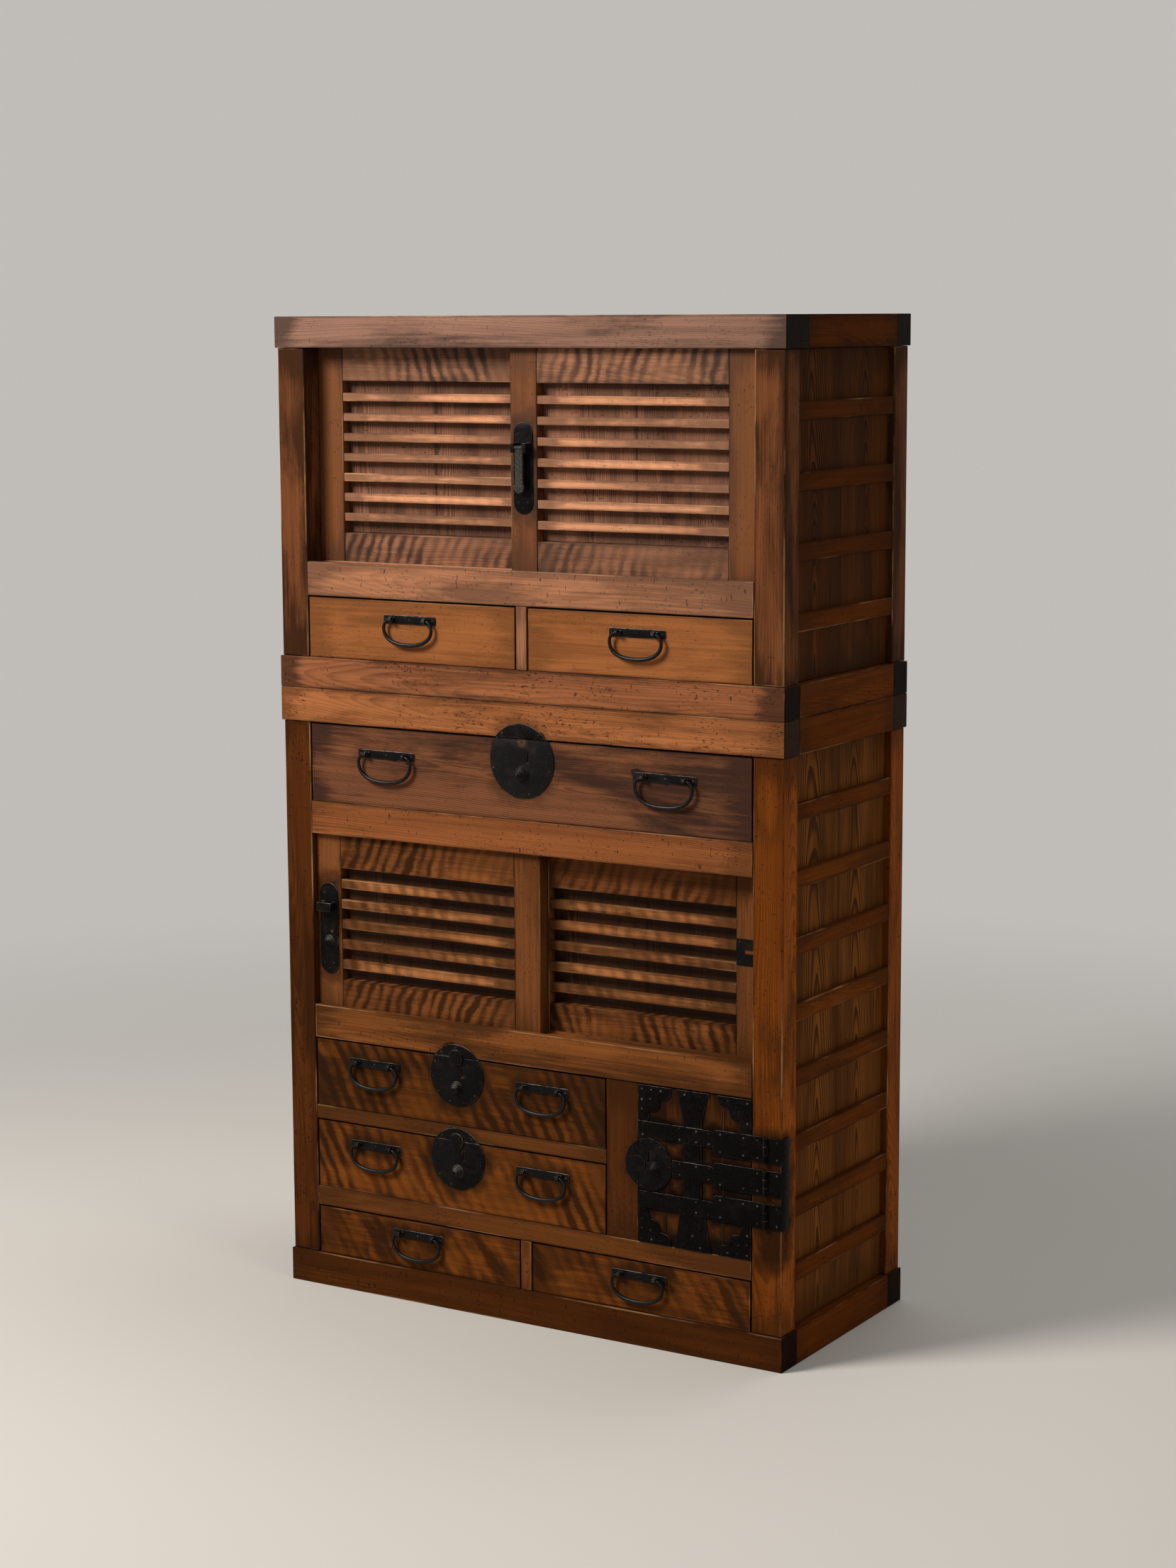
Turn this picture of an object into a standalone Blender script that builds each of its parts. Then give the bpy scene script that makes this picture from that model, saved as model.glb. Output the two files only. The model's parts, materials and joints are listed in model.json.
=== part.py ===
# Two-section merchant chest: an upper case that lifts off a lower case, sliding louvred doors,
# drawers with swinging iron bails, round drawer locks and an iron-bound safe door.
# Units are metres, +Z is up, -Y is the front, and the origin is on the floor under the middle of
# the chest and its front ironwork.

import math

import bmesh
import bpy
from mathutils import Matrix, Vector

for leftover in list(bpy.data.objects):
    bpy.data.objects.remove(leftover, do_unlink=True)

MM = 0.001

# Case width and depth over the frame rails
CASE_WIDTH = 880 * MM
CASE_DEPTH = 395 * MM

# Lower case, heights from the floor up
BASE_HEIGHT = 52 * MM
BOTTOM_BAY = 78 * MM
CROSS_RAIL_HEIGHT = 30.5 * MM
LOWER_LOCK_BAY = 109.5 * MM
LOCK_RAIL_HEIGHT = 22 * MM
UPPER_LOCK_BAY = 109 * MM
LOWER_SILL_HEIGHT = 52 * MM
LOWER_DOOR_BAY = 271.5 * MM
SHELF_RAIL_HEIGHT = 50.5 * MM
WIDE_BAY = 124 * MM
LOWER_TOP_HEIGHT = 52 * MM

# Upper case, heights from its underside up
UPPER_BASE_HEIGHT = 48 * MM
UPPER_DRAWER_BAY = 95 * MM
UPPER_SILL_HEIGHT = 51.5 * MM
UPPER_DOOR_BAY = 324 * MM
TOP_HEIGHT = 47 * MM

# Frame members
RAIL_DEPTH = 46 * MM
SIDE_RAIL_WIDTH = 34 * MM
POST_SETBACK = 3 * MM
POST_WIDTH = 48.5 * MM
POST_DEPTH = 44 * MM
PANEL_RECESS = 11 * MM
PANEL_THICKNESS = 8 * MM
BATTEN_HEIGHT = 26 * MM
BATTEN_SETBACK = 1.5 * MM
UPPER_BATTENS = 4
LOWER_BATTENS = 8
FLOOR_THICKNESS = 12 * MM
SHELF_THICKNESS = 10 * MM
BACK_THICKNESS = 9 * MM
BACK_SETBACK = 2 * MM
BACK_BOARDS = 4
BACK_GROOVE = 3 * MM
DIVIDER_WIDTH = 18 * MM
SAFE_DIVIDER_WIDTH = 54.5 * MM
SAFE_OPENING_WIDTH = 190.5 * MM
PARTITION_THICKNESS = 12 * MM
LOCK_RAIL_DEPTH = 40 * MM
TENON = 4 * MM

# Sliding doors
DOOR_THICKNESS = 21 * MM
FRONT_TRACK = 11 * MM
TRACK_PITCH = 25 * MM
TRACK_BACK_WALL = 6 * MM
TRACK_CLEARANCE = 0.5 * MM
SILL_GROOVE = 3 * MM
HEAD_GROOVE = 10 * MM
HEAD_ENGAGE = 6 * MM
STILE_WIDTH = 45.5 * MM
DOOR_SIDE_GAP = 0.6 * MM
UPPER_DOOR_TOP_RAIL = 56.5 * MM
UPPER_DOOR_BOTTOM_RAIL = 46 * MM
LOWER_DOOR_TOP_RAIL = 59.5 * MM
LOWER_DOOR_BOTTOM_RAIL = 44.5 * MM
UPPER_BARS = 7
UPPER_BAR_HEIGHT = 12.5 * MM
LOWER_BARS = 5
LOWER_BAR_HEIGHT = 14.5 * MM
BAR_SETBACK = 1 * MM
BAR_THICKNESS = 8.5 * MM
DOOR_PANEL_THICKNESS = 5 * MM

# Drawers
DRAWER_SETBACK = 1 * MM
DRAWER_SIDE_GAP = 0.8 * MM
DRAWER_TOP_GAP = 1.2 * MM
DRAWER_FRONT_THICKNESS = 20 * MM
DRAWER_LENGTH = 364 * MM
DRAWER_WALL = 10 * MM
DRAWER_BOTTOM = 8 * MM
DRAWER_SIDE_DROP = 8 * MM

# Bail handles: small ones, and the larger pair on the wide drawer
HANDLE_SPREAD_WIDE = 245 * MM
HANDLE_SPREAD_LOCK = 153 * MM
SMALL_PLATE_WIDTH = 94 * MM
WIDE_PLATE_WIDTH = 103 * MM
HANDLE_PLATE_HEIGHT = 13 * MM
HANDLE_PLATE_THICKNESS = 1.5 * MM
HANDLE_STANDOFF = 5.6 * MM
EYE_INSET = 16.5 * MM
EYE_RADIUS = 5 * MM
EYE_WIDTH = 5 * MM
EYE_STEM = 5 * MM
BAIL_END_RADIUS = 2.4 * MM
BAIL_GRIP_RADIUS = 3.6 * MM
BAIL_PIN_CLEARANCE = 0.35 * MM
BAIL_SHOULDER_DROP = 13 * MM
SMALL_BAIL_DROP = 38 * MM
WIDE_BAIL_DROP = 42 * MM
BAIL_PIN_REACH = 2 * MM
BAIL_OVERHANG = 4.5 * MM
UPPER_HANDLE_DROP = 30 * MM
WIDE_HANDLE_DROP = 43 * MM
LOCK_HANDLE_DROP = 32 * MM
BOTTOM_HANDLE_DROP = 24 * MM

# Round locks
LOCK_PLATE_THICKNESS = 1.6 * MM
WIDE_LOCK_RADIUS = 56 * MM
WIDE_LOCK_DROP = 33 * MM
LOCK_RADIUS = 48.5 * MM
LOCK_DROP = 28 * MM
SAFE_LOCK_RADIUS = 39.7 * MM
SAFE_LOCK_INSET = 18.5 * MM
TONGUE_RADIUS = 12.5 * MM
WIDE_KNOB_RADIUS = 12 * MM
WIDE_KNOB_LENGTH = 16 * MM
KNOB_RADIUS = 10.4 * MM
KNOB_LENGTH = 13 * MM
KNOB_DROP = 20 * MM
KEEPER_GAP = 1.6 * MM
KEYHOLE_OFFSET = 11 * MM
KEYHOLE_LENGTH = 14 * MM
KEYHOLE_EYE_RADIUS = 2.6 * MM

# Door lock plates with their staples
DOOR_LOCK_WIDTH = 32.5 * MM
UPPER_DOOR_LOCK_HEIGHT = 134 * MM
UPPER_DOOR_LOCK_CENTRE = 150 * MM
LOWER_DOOR_LOCK_WIDTH = 34 * MM
LOWER_DOOR_LOCK_HEIGHT = 144 * MM
LOWER_DOOR_LOCK_CENTRE = 122 * MM
STAPLE_WIDTH = 26 * MM
STAPLE_HEIGHT = 14 * MM
STAPLE_REACH = 14 * MM
STAPLE_EAR = 5.5 * MM
STAPLE_CAP = 3.5 * MM
STAPLE_DROP = 37 * MM
HASP_STANDOFF = 10.5 * MM
HASP_LENGTH = 66 * MM
HASP_WIDTH = 13 * MM
HASP_THICKNESS = 3 * MM
HASP_END_RADIUS = 8.5 * MM
HASP_PIN_RADIUS = 1.8 * MM
HASP_BARREL_RADIUS = 3.4 * MM
LOWER_KNOB_RADIUS = 8.5 * MM
LOWER_KNOB_LENGTH = 11 * MM

# Safe door and its ironwork
SAFE_DOOR_THICKNESS = 18 * MM
SAFE_DOOR_GAP = 1.6 * MM
SAFE_HINGE_GAP = 0.8 * MM
STRAP_HEIGHT = 37.5 * MM
STRAP_SPACING = 49 * MM
BAND_HEIGHT = 24.5 * MM
BAND_SPACING = 53 * MM
BAND_END = 32 * MM
BAND_CORNER = 6 * MM
BAND_THICKNESS = 2.4 * MM
SPINE_WIDTH = 30.5 * MM
SPINE_OFFSET = 3 * MM
CROWN_WIDTH = 54 * MM
FOOT_WIDTH = 63 * MM
FOOT_TOP_WIDTH = 43.5 * MM
CORNER_LOBES = 3
CORNER_REACH = 55 * MM
HINGE_OFFSET = 23.5 * MM
HINGE_RADIUS = 4 * MM
HINGE_PIN_RADIUS = 2 * MM
HINGE_CLEARANCE = 0.3 * MM
HINGE_SIDE_RETURN = 18 * MM
HINGE_IRON = 2.4 * MM

# Running and seating gaps
GAP = 0.3 * MM
OVERCUT = 5 * MM

# Levels of the lower case
BASE_TOP = BASE_HEIGHT
CROSS_RAIL_LOW = BASE_TOP + BOTTOM_BAY
CROSS_RAIL_TOP = CROSS_RAIL_LOW + CROSS_RAIL_HEIGHT
LOCK_RAIL_LOW = CROSS_RAIL_TOP + LOWER_LOCK_BAY
LOCK_RAIL_TOP = LOCK_RAIL_LOW + LOCK_RAIL_HEIGHT
LOWER_SILL_LOW = LOCK_RAIL_TOP + UPPER_LOCK_BAY
LOWER_SILL_TOP = LOWER_SILL_LOW + LOWER_SILL_HEIGHT
SHELF_RAIL_LOW = LOWER_SILL_TOP + LOWER_DOOR_BAY
SHELF_RAIL_TOP = SHELF_RAIL_LOW + SHELF_RAIL_HEIGHT
LOWER_TOP_LOW = SHELF_RAIL_TOP + WIDE_BAY
LOWER_TOP = LOWER_TOP_LOW + LOWER_TOP_HEIGHT

# Levels of the upper case, which rests on the lower one
UPPER_LOW = LOWER_TOP + GAP
UPPER_BASE_TOP = UPPER_LOW + UPPER_BASE_HEIGHT
UPPER_SILL_LOW = UPPER_BASE_TOP + UPPER_DRAWER_BAY
UPPER_SILL_TOP = UPPER_SILL_LOW + UPPER_SILL_HEIGHT
TOP_LOW = UPPER_SILL_TOP + UPPER_DOOR_BAY

# Places across the width and depth
HALF_WIDTH = CASE_WIDTH / 2
POST_OUTER = HALF_WIDTH - POST_SETBACK
OPENING = POST_OUTER - POST_WIDTH
PANEL_OUTER = POST_OUTER - PANEL_RECESS
PANEL_INNER = PANEL_OUTER - PANEL_THICKNESS
SAFE_LEFT = OPENING - SAFE_OPENING_WIDTH
LOCK_BAY_RIGHT = SAFE_LEFT - SAFE_DIVIDER_WIDTH
DRAWER_FACE = POST_SETBACK + DRAWER_SETBACK
FRONT_REACH = GAP + LOCK_PLATE_THICKNESS + WIDE_KNOB_LENGTH - DRAWER_FACE
FRONT = (FRONT_REACH - CASE_DEPTH) / 2
REAR_POST_FRONT = CASE_DEPTH - POST_SETBACK - POST_DEPTH
FRONT_POST_BACK = POST_SETBACK + POST_DEPTH
BACK_FACE = CASE_DEPTH - POST_SETBACK - BACK_SETBACK
BACK_FRONT = BACK_FACE - BACK_THICKNESS
FRONT_DOOR_FACE = POST_SETBACK + FRONT_TRACK
REAR_DOOR_FACE = FRONT_DOOR_FACE + TRACK_PITCH
TRACK_DEPTH = REAR_DOOR_FACE + DOOR_THICKNESS + TRACK_CLEARANCE + TRACK_BACK_WALL

WOOD_TONES = {
    "frame": (0.27, 0.115, 0.042),
    "panel": (0.20, 0.088, 0.036),
    "figured": (0.29, 0.125, 0.045),
    "plain": (0.36, 0.165, 0.066),
    "dark": (0.17, 0.066, 0.028),
}
IRON_TONE = (0.022, 0.021, 0.021)


def wood(tone):
    return {"color": WOOD_TONES[tone], "roughness": 0.48, "metallic": 0.0}


def iron():
    return {"color": IRON_TONE, "roughness": 0.5, "metallic": 0.85}


def make_material(name, finish):
    material = bpy.data.materials.new(name)
    material.use_nodes = True
    shader = material.node_tree.nodes["Principled BSDF"]
    shader.inputs["Base Color"].default_value = (*finish["color"], 1.0)
    shader.inputs["Roughness"].default_value = finish["roughness"]
    shader.inputs["Metallic"].default_value = finish["metallic"]
    material.diffuse_color = (*finish["color"], 1.0)
    return material


# Closed shapes, each returned as a bmesh

def box(x, depth, z):
    """Box between pairs of x, depth behind the rail face, and z."""
    low = Vector((x[0], FRONT + depth[0], z[0]))
    high = Vector((x[1], FRONT + depth[1], z[1]))
    shape = bmesh.new()
    bmesh.ops.create_cube(shape, size=1.0)
    bmesh.ops.scale(shape, vec=high - low, verts=shape.verts)
    bmesh.ops.translate(shape, vec=(low + high) / 2, verts=shape.verts)
    return shape


def prism(outline, depth):
    """Outline of (x, z) points, extruded between two depths."""
    shape = bmesh.new()
    rim = [shape.verts.new((x, FRONT + depth[0], z)) for x, z in outline]
    face = shape.faces.new(rim)
    grown = bmesh.ops.extrude_face_region(shape, geom=[face])["geom"]
    moved = [item for item in grown if isinstance(item, bmesh.types.BMVert)]
    bmesh.ops.translate(shape, vec=(0, depth[1] - depth[0], 0), verts=moved)
    bmesh.ops.recalc_face_normals(shape, faces=shape.faces)
    return shape


def turned(profile, centre, axis, steps, ring=False):
    """Profile of (radius, along) points, turned about an axis; a ring closes on itself."""
    shape = bmesh.new()
    points = [shape.verts.new((radius, 0, along)) for radius, along in profile]
    pairs = list(zip(points, points[1:]))
    if ring:
        pairs.append((points[-1], points[0]))
    edges = [shape.edges.new(pair) for pair in pairs]
    bmesh.ops.spin(shape, geom=points + edges, cent=(0, 0, 0), axis=(0, 0, 1),
                   angle=2 * math.pi, steps=steps, use_merge=True)
    bmesh.ops.remove_doubles(shape, verts=shape.verts, dist=0.001 * MM)
    turn = Vector((0, 0, 1)).rotation_difference(Vector(axis)).to_matrix().to_4x4()
    bmesh.ops.transform(shape, matrix=Matrix.Translation(centre) @ turn, verts=shape.verts)
    bmesh.ops.recalc_face_normals(shape, faces=shape.faces)
    return shape


def arc(centre, radius, start, stop, steps):
    """Points on a circle between two angles in degrees, both ends included."""
    angles = [math.radians(start + (stop - start) * step / steps) for step in range(steps + 1)]
    return [(centre[0] + radius * math.cos(a), centre[1] + radius * math.sin(a)) for a in angles]


def rounded_bar(x, z, left, right, steps=3):
    """Rectangle outline whose left and right pairs of corners are rounded by these radii."""
    outline = []
    corners = ((x[1], z[1], right, 0), (x[0], z[1], left, 90), (x[0], z[0], left, 180), (x[1], z[0], right, 270))
    for corner_x, corner_z, radius, start in corners:
        if radius == 0:
            outline.append((corner_x, corner_z))
            continue
        inward_x = -radius if start in (0, 270) else radius
        inward_z = -radius if start in (0, 90) else radius
        outline += arc((corner_x + inward_x, corner_z + inward_z), radius, start, start + 90, steps)
    return outline


# Objects

def place(name, mesh, finish, at):
    thing = bpy.data.objects.new(name, mesh)
    thing.location = at
    bpy.context.collection.objects.link(thing)
    mesh.materials.append(make_material(name, finish))
    return thing


def solid(name, finish, at, adds, cuts=(), smooth=None):
    """One closed body: the union of the shapes to add, less the shapes to cut, with its origin at a point."""
    mesh = bpy.data.meshes.new(name)
    adds[0].to_mesh(mesh)
    body = bpy.data.objects.new(name, mesh)
    bpy.context.collection.objects.link(body)
    helpers = []
    collections = []
    for operation, shapes in (("UNION", adds[1:]), ("DIFFERENCE", cuts)):
        if not shapes:
            continue
        group = bpy.data.collections.new(name + "_" + operation.lower())
        bpy.context.scene.collection.children.link(group)
        collections.append(group)
        for shape in shapes:
            helper_mesh = bpy.data.meshes.new(name + "_helper")
            shape.to_mesh(helper_mesh)
            helper = bpy.data.objects.new(name + "_helper", helper_mesh)
            helper.hide_render = True
            helper.display_type = "WIRE"
            group.objects.link(helper)
            helpers.append(helper)
        modifier = body.modifiers.new(operation.lower(), "BOOLEAN")
        modifier.operation = operation
        modifier.solver = "EXACT"
        modifier.operand_type = "COLLECTION"
        modifier.collection = group
    for shape in list(adds) + list(cuts):
        shape.free()
    evaluated = body.evaluated_get(bpy.context.evaluated_depsgraph_get())
    finished = bpy.data.meshes.new_from_object(evaluated)
    bpy.data.objects.remove(body, do_unlink=True)
    for helper in helpers:
        bpy.data.objects.remove(helper, do_unlink=True)
    for group in collections:
        bpy.data.collections.remove(group)
    finished.name = name
    finished.transform(Matrix.Translation(-Vector(at)))
    finished.materials.clear()
    if smooth:
        finished.shade_smooth()
        finished.set_sharp_from_angle(angle=math.radians(smooth))
    return place(name, finished, finish, at)


def pivot_empty(name, at):
    empty = bpy.data.objects.new(name, None)
    empty.location = at
    bpy.context.collection.objects.link(empty)
    return empty


def attach(child, parent):
    """Parent a piece to the one that carries it, leaving it where it is."""
    child.location = child.location - parent.location
    child.parent = parent


# Case frames, sides, backs and shelves

def door_grooves(level, up):
    """Two grooves for the sliding doors: cut up into a head rail, or down into a sill."""
    z = (level - OVERCUT, level + HEAD_GROOVE) if up else (level - SILL_GROOVE, level + OVERCUT)
    x = (-OPENING, OPENING)
    faces = (FRONT_DOOR_FACE, REAR_DOOR_FACE)
    return [box(x, (face - TRACK_CLEARANCE, face + DOOR_THICKNESS + TRACK_CLEARANCE), z) for face in faces]


def case_frame(name, low, height, front_rail_depth, grooves):
    """Joined frame of rails round a board that is flush with its top."""
    high = low + height
    slab = box((-HALF_WIDTH, HALF_WIDTH), (0, CASE_DEPTH), (low, high))
    inside = HALF_WIDTH - SIDE_RAIL_WIDTH
    depth = (front_rail_depth, CASE_DEPTH - RAIL_DEPTH)
    pocket = box((-inside, inside), depth, (low - OVERCUT, high - FLOOR_THICKNESS))
    cuts = [pocket] + (door_grooves(low, True) if grooves else [])
    return solid(name, wood("frame"), (0, FRONT, low), [slab], cuts)


def case_side(name, side, low, high, battens):
    """Front and rear post with a recessed panel between them and evenly spaced battens over it."""
    def across(inner, outer):
        return tuple(sorted((side * inner, side * outer)))

    z = (low + GAP, high - GAP)
    posts = across(OPENING, POST_OUTER)
    between = (FRONT_POST_BACK - TENON, REAR_POST_FRONT + TENON)
    shapes = [
        box(posts, (POST_SETBACK, FRONT_POST_BACK), z),
        box(posts, (REAR_POST_FRONT, CASE_DEPTH - POST_SETBACK), z),
        box(across(PANEL_INNER, PANEL_OUTER), between, z),
    ]
    space = (high - low - battens * BATTEN_HEIGHT) / (battens + 1)
    batten_x = across(PANEL_OUTER - PANEL_THICKNESS / 2, POST_OUTER - BATTEN_SETBACK)
    for index in range(battens):
        batten_low = low + space + index * (space + BATTEN_HEIGHT)
        shapes.append(box(batten_x, between, (batten_low, batten_low + BATTEN_HEIGHT)))
    return solid(name, wood("frame"), (side * POST_OUTER, FRONT, low), shapes)


def case_back(name, low, high):
    """Upright back boards, butted edge to edge, with a shallow groove at each meeting line."""
    width = 2 * (OPENING - GAP)
    board = box((-width / 2, width / 2), (BACK_FRONT, BACK_FACE), (low + GAP, high - GAP))
    grooves = []
    for index in range(1, BACK_BOARDS):
        line = -width / 2 + index * width / BACK_BOARDS
        grooves.append(box((line - BACK_GROOVE / 2, line + BACK_GROOVE / 2),
                           (BACK_FACE - BACK_GROOVE, BACK_FACE + OVERCUT), (low - OVERCUT, high + OVERCUT)))
    return solid(name, wood("panel"), (0, FRONT + BACK_FACE, low), [board], grooves)


def shelf_shapes(low, high, rail_depth):
    """Front rail with the board behind it, which reaches between the posts to the side panels."""
    x = (-OPENING + GAP, OPENING - GAP)
    board = (high - SHELF_THICKNESS, high)
    wide = PANEL_INNER - GAP
    return [
        box(x, (POST_SETBACK, rail_depth), (low, high)),
        box(x, (rail_depth - TENON, BACK_FRONT - GAP), board),
        box((-wide, wide), (FRONT_POST_BACK + GAP, REAR_POST_FRONT - GAP), board),
    ]


def divider_shapes(x, low, high):
    """Short front divider and the partition behind it, tenoned into the rail above."""
    return [
        box(x, (POST_SETBACK, RAIL_DEPTH), (low + GAP, high + TENON)),
        box(x, (RAIL_DEPTH - TENON, BACK_FRONT - GAP), (low + GAP, high + TENON + SHELF_THICKNESS)),
    ]


# Sliding doors

def sliding_door(name, x, face, bay, rails, bars, bar_height):
    """Framed door: stiles and rails, a thin panel at the back, and level bars in front of it."""
    low = bay[0] - SILL_GROOVE + GAP
    high = bay[1] + HEAD_ENGAGE
    blank = box(x, (face, face + DOOR_THICKNESS), (low, high))
    inner_x = (x[0] + STILE_WIDTH, x[1] - STILE_WIDTH)
    inner_low = low + rails[1]
    inner_high = high - rails[0]
    bar_back = face + BAR_SETBACK + BAR_THICKNESS
    panel_front = face + DOOR_THICKNESS - DOOR_PANEL_THICKNESS
    cuts = [
        box(inner_x, (face - OVERCUT, face + BAR_SETBACK), (inner_low, inner_high)),
        box(inner_x, (bar_back, panel_front), (inner_low, inner_high)),
    ]
    space = (inner_high - inner_low - bars * bar_height) / (bars + 1)
    for index in range(bars + 1):
        slot_low = inner_low + index * (space + bar_height)
        cuts.append(box(inner_x, (face - OVERCUT, (bar_back + panel_front) / 2), (slot_low, slot_low + space)))
    middle = (sum(x) / 2, FRONT + face, low)
    return solid(name, wood("figured"), middle, [blank], cuts)


# Drawers and their handles

def drawer(name, x, bay, tone):
    """Open box behind a thick front that fills its bay, less the running gaps."""
    width = (x[0] + DRAWER_SIDE_GAP, x[1] - DRAWER_SIDE_GAP)
    low = bay[0] + GAP
    high = bay[1] - DRAWER_TOP_GAP
    front_back = DRAWER_FACE + DRAWER_FRONT_THICKNESS
    front = box(width, (DRAWER_FACE, front_back), (low, high))
    tray_high = high - DRAWER_SIDE_DROP
    tray = box(width, (front_back - TENON, DRAWER_FACE + DRAWER_LENGTH), (low, tray_high))
    hollow = box((width[0] + DRAWER_WALL, width[1] - DRAWER_WALL),
                 (front_back, DRAWER_FACE + DRAWER_LENGTH - DRAWER_WALL), (low + DRAWER_BOTTOM, high + OVERCUT))
    return solid(name, wood(tone), (sum(x) / 2, FRONT + DRAWER_FACE, low), [front, tray], [hollow])


def bail_points(half_width, pin_start, eye_edge, drop):
    """Centre line of a bail: a pin in each eye, a rounded shoulder, and a deep bowed grip."""
    shoulder = half_width - eye_edge
    side = [(pin_start, 0.0), (eye_edge, 0.0)]
    for step in range(1, 4):
        turn = math.radians(90 - 30 * step)
        side.append((eye_edge + shoulder * math.cos(turn), -BAIL_SHOULDER_DROP * (1 - math.sin(turn))))
    grip_steps = 5
    grip_drop = drop - BAIL_SHOULDER_DROP
    for step in range(1, grip_steps):
        turn = math.radians(90 * step / grip_steps)
        x = half_width * math.cos(turn) ** 0.85
        side.append((x, -BAIL_SHOULDER_DROP - grip_drop * math.sin(turn) ** 0.9))
    right = side + [(0.0, -drop)]
    left = [(-x, z) for x, z in reversed(side)]
    return right + left


def bail(name, pivot, half_width, eye, drop):
    """Round forged bail, thickest at the bottom of its grip, with its origin on the pins' axis."""
    curve = bpy.data.curves.new(name, "CURVE")
    curve.dimensions = "3D"
    curve.bevel_depth = 1.0
    curve.bevel_resolution = 2
    curve.use_fill_caps = True
    pin_start = eye - EYE_WIDTH / 2 - BAIL_PIN_REACH
    eye_edge = eye + EYE_WIDTH / 2 + GAP
    points = bail_points(half_width, pin_start, eye_edge, drop)
    spline = curve.splines.new("POLY")
    spline.points.add(len(points) - 1)
    for point, (x, z) in zip(spline.points, points):
        point.co = (x, 0.0, z, 1.0)
        point.radius = BAIL_END_RADIUS + (BAIL_GRIP_RADIUS - BAIL_END_RADIUS) * min(1.0, -z / drop)
    return place(name, curve, iron(), pivot)


def handle(name, carrier, x, z, plate_width, drop):
    """Back plate with two eyes, fixed to a drawer front, and the bail that swings in the eyes."""
    plate_back = DRAWER_FACE - GAP
    plate_front = plate_back - HANDLE_PLATE_THICKNESS
    pivot_depth = plate_front - HANDLE_STANDOFF
    pivot = Vector((x, FRONT + pivot_depth, z))
    eye = plate_width / 2 - EYE_INSET
    half = plate_width / 2
    half_height = HANDLE_PLATE_HEIGHT / 2
    bore = BAIL_END_RADIUS + BAIL_PIN_CLEARANCE
    ring = [(bore, -EYE_WIDTH / 2), (bore, EYE_WIDTH / 2), (EYE_RADIUS, EYE_WIDTH / 2), (EYE_RADIUS, -EYE_WIDTH / 2)]
    corner = HANDLE_PLATE_HEIGHT / 6
    outline = rounded_bar((x - half, x + half), (z - half_height, z + half_height), corner, corner, 2)
    shapes = [prism(outline, (plate_front, plate_back))]
    stem_front = pivot_depth + (bore + EYE_RADIUS) / 2
    for place_x in (x - eye, x + eye):
        shapes.append(turned(ring, (place_x, pivot.y, z), (1, 0, 0), 12, ring=True))
        shapes.append(box((place_x - EYE_WIDTH / 2, place_x + EYE_WIDTH / 2),
                          (stem_front, plate_front + HANDLE_PLATE_THICKNESS / 2),
                          (z - EYE_STEM / 2, z + EYE_STEM / 2)))
    plate = solid(name + "_plate", iron(), (x, FRONT + plate_back, z), shapes, smooth=40)
    swing = bail(name + "_bail", pivot, half - BAIL_OVERHANG + BAIL_GRIP_RADIUS - BAIL_END_RADIUS, eye, drop)
    attach(plate, carrier)
    attach(swing, carrier)


# Locks

def knob_shape(centre, radius, length):
    """Conical pull turned in stepped rings, narrowing to a rounded tip."""
    profile = [(0.0, -LOCK_PLATE_THICKNESS / 2), (radius, -LOCK_PLATE_THICKNESS / 2), (radius, 0.12 * length)]
    rings = ((0.80, 0.24, 0.40), (0.60, 0.50, 0.64), (0.40, 0.74, 0.84))
    for share, start, stop in rings:
        profile += [(share * radius, start * length), (share * radius, stop * length)]
    profile += [(0.22 * radius, 0.96 * length), (0.0, length)]
    return turned(profile, centre, (0, -1, 0), 12)


def keyhole_shape(x, z, depth):
    """Narrow slot over a round eye."""
    outline = arc((x, z), KEYHOLE_EYE_RADIUS, 120, 420, 8)
    half = KEYHOLE_EYE_RADIUS * math.cos(math.radians(60))
    return prism(outline + [(x + half, z + KEYHOLE_LENGTH), (x - half, z + KEYHOLE_LENGTH)], depth)


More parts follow.
